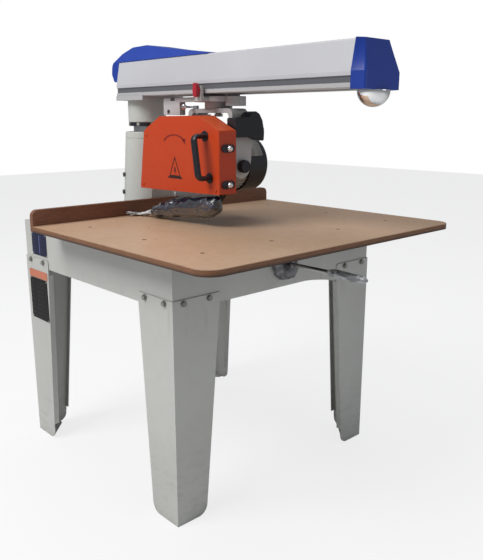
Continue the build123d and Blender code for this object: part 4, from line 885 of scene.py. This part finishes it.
# torn ends of the sheet: root x, root y, tip x, tip y, lift
WHISKERS = [(-0.150, 0.285, -0.196, 0.300, 0.010), (-0.146, 0.292, -0.188, 0.312, 0.004),
            (-0.152, 0.300, -0.172, 0.318, 0.007)]
# share of the way to the tip, z, share of the lift, half width, half height
WHISKER_SHAPE = [(0, 0.8575, 0, 0.0060, 0.0040), (0.4, 0.8570, 0.5, 0.0045, 0.0026),
                 (0.75, 0.8562, 1, 0.0030, 0.0018), (1, 0.8555, 1.3, 0.0010, 0.0008)]

guard_films = [
    film("guard_film", GUARD_FILM, rings=120, around=64, depth=0.0062, frequency=30,
         material="film_wrap", seed=1.7, floor=FILM_FLOOR),
    film("guard_film_tail", FILM_TAIL, rings=60, around=36, depth=0.0034, frequency=60,
         material="film_clear", seed=4.1, floor=FILM_FLOOR),
]
for k, (root_x, root_y, tip_x, tip_y, lift) in enumerate(WHISKERS):
    stations = [(root_x * (1 - t) + tip_x * t, root_y * (1 - t) + tip_y * t,
                 z + lift * rise, half_width, half_height)
                for t, z, rise, half_width, half_height in WHISKER_SHAPE]
    guard_films.append(film("film_whisker_%d" % (k + 1), stations, rings=30, around=16,
                            depth=0.0012, frequency=150, material="film_clear",
                            seed=7.0 + k, floor=FILM_FLOOR))

# each sheet of the wrap gets a mesh of its own
for sheet in guard_films:
    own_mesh(sheet)

# clear film round the crank sleeve, dull bag round the crank bearing
film("crank_film", CRANK_FILM, rings=60, around=30, depth=0.0015, frequency=90,
     material="film_clear", seed=2.2, body="crank")
film("bearing_bag", BEARING_BAG, rings=44, around=48, depth=0.0040, frequency=60,
     material="film_smoke", seed=6.4, body="stand")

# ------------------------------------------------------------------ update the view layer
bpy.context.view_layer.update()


# ------------------------------------------------------------------ stage, light and camera
def pale_floor():
    """Large pale floor, which mostly glows when seen directly by the camera."""
    half, z = 12, -0.0005
    mat = Surface("floor_pale")
    mat.finish(color=mat.mix(mat.noise(scale=1.2, detail=3), (0.86,) * 3, (0.90,) * 3),
               rough=0.8)
    glow = mat.node("ShaderNodeEmission", {0: (0.985, 0.985, 0.99)})
    seen = mat.node("ShaderNodeLightPath").outputs["Is Camera Ray"]
    both = mat.node("ShaderNodeMixShader", {
        0: mat.times(seen, 0.80), 1: mat.principled.outputs[0], 2: glow.outputs[0]})
    plug(mat.tree, mat.output.inputs[0], both.outputs[0])
    mesh = bpy.data.meshes.new("floor")
    mesh.from_pydata([(-half, -half, z), (half, -half, z), (half, half, z), (-half, half, z)],
                     [], [(0, 1, 2, 3)])
    floor = bpy.data.objects.new("floor", mesh)
    mesh.materials.append(MATERIALS["floor_pale"])
    scene.collection.objects.link(floor)


def studio_world():
    """White to the camera, a dim cool fill to everything else."""
    world = bpy.data.worlds.new("studio")
    scene.world = world
    world.use_nodes = True
    tree = world.node_tree
    tree.nodes.clear()
    output = add_node(tree, "ShaderNodeOutputWorld")
    # background inputs: 0 colour, 1 strength
    seen = add_node(tree, "ShaderNodeBackground", {0: (1, 1, 1), 1: 1.0})
    fill = add_node(tree, "ShaderNodeBackground", {0: (0.93, 0.96, 1.0), 1: 0.25})
    ray = add_node(tree, "ShaderNodeLightPath").outputs["Is Camera Ray"]
    pick = add_node(tree, "ShaderNodeMixShader",
                    {0: ray, 1: fill.outputs[0], 2: seen.outputs[0]})
    plug(tree, output.inputs[0], pick.outputs[0])


def area_light(name, location, target, size, power, color=(1, 1, 1)):
    light = bpy.data.lights.new(name, "AREA")
    light.shape = "RECTANGLE"
    light.size, light.size_y = size
    light.energy = power
    light.color = color
    lamp = bpy.data.objects.new(name, light)
    scene.collection.objects.link(lamp)
    lamp.location = location
    aim = Vector(target) - Vector(location)
    lamp.rotation_euler = aim.to_track_quat("-Z", "Y").to_euler()


pale_floor()
studio_world()
area_light("key", location=(-3.7, 0.7, 4.5), target=(0, 0, 0.9), size=(2.8, 2.4), power=205,
           color=(1, 0.985, 0.965))
area_light("top", location=(0.3, 0.6, 4.8), target=(0, 0, 0.9), size=(3.4, 3.4), power=60)
area_light("front_fill", location=(1.6, -4.4, 2.0), target=(0, 0, 0.8), size=(2.4, 1.8),
           power=16, color=(0.96, 0.98, 1))

CAMERA_PITCH = 13.91        # degrees below level
CAMERA_HEADING = -0.7484    # radians about z, turned from +y towards +x

lens = bpy.data.cameras.new("photo_camera")
camera = bpy.data.objects.new("photo_camera", lens)
scene.collection.objects.link(camera)
lens.sensor_width = 36.0
lens.lens = 42.35785714     # focal length in mm
camera.location = (-1.4886, -1.6977 + SET_BACK, 1.1975)
camera.rotation_euler = (math.radians(90 - CAMERA_PITCH), 0.0, CAMERA_HEADING)
lens.clip_start, lens.clip_end = 0.05, 60
scene.camera = camera
scene.view_settings.view_transform = "Standard"
scene.view_settings.look = "None"
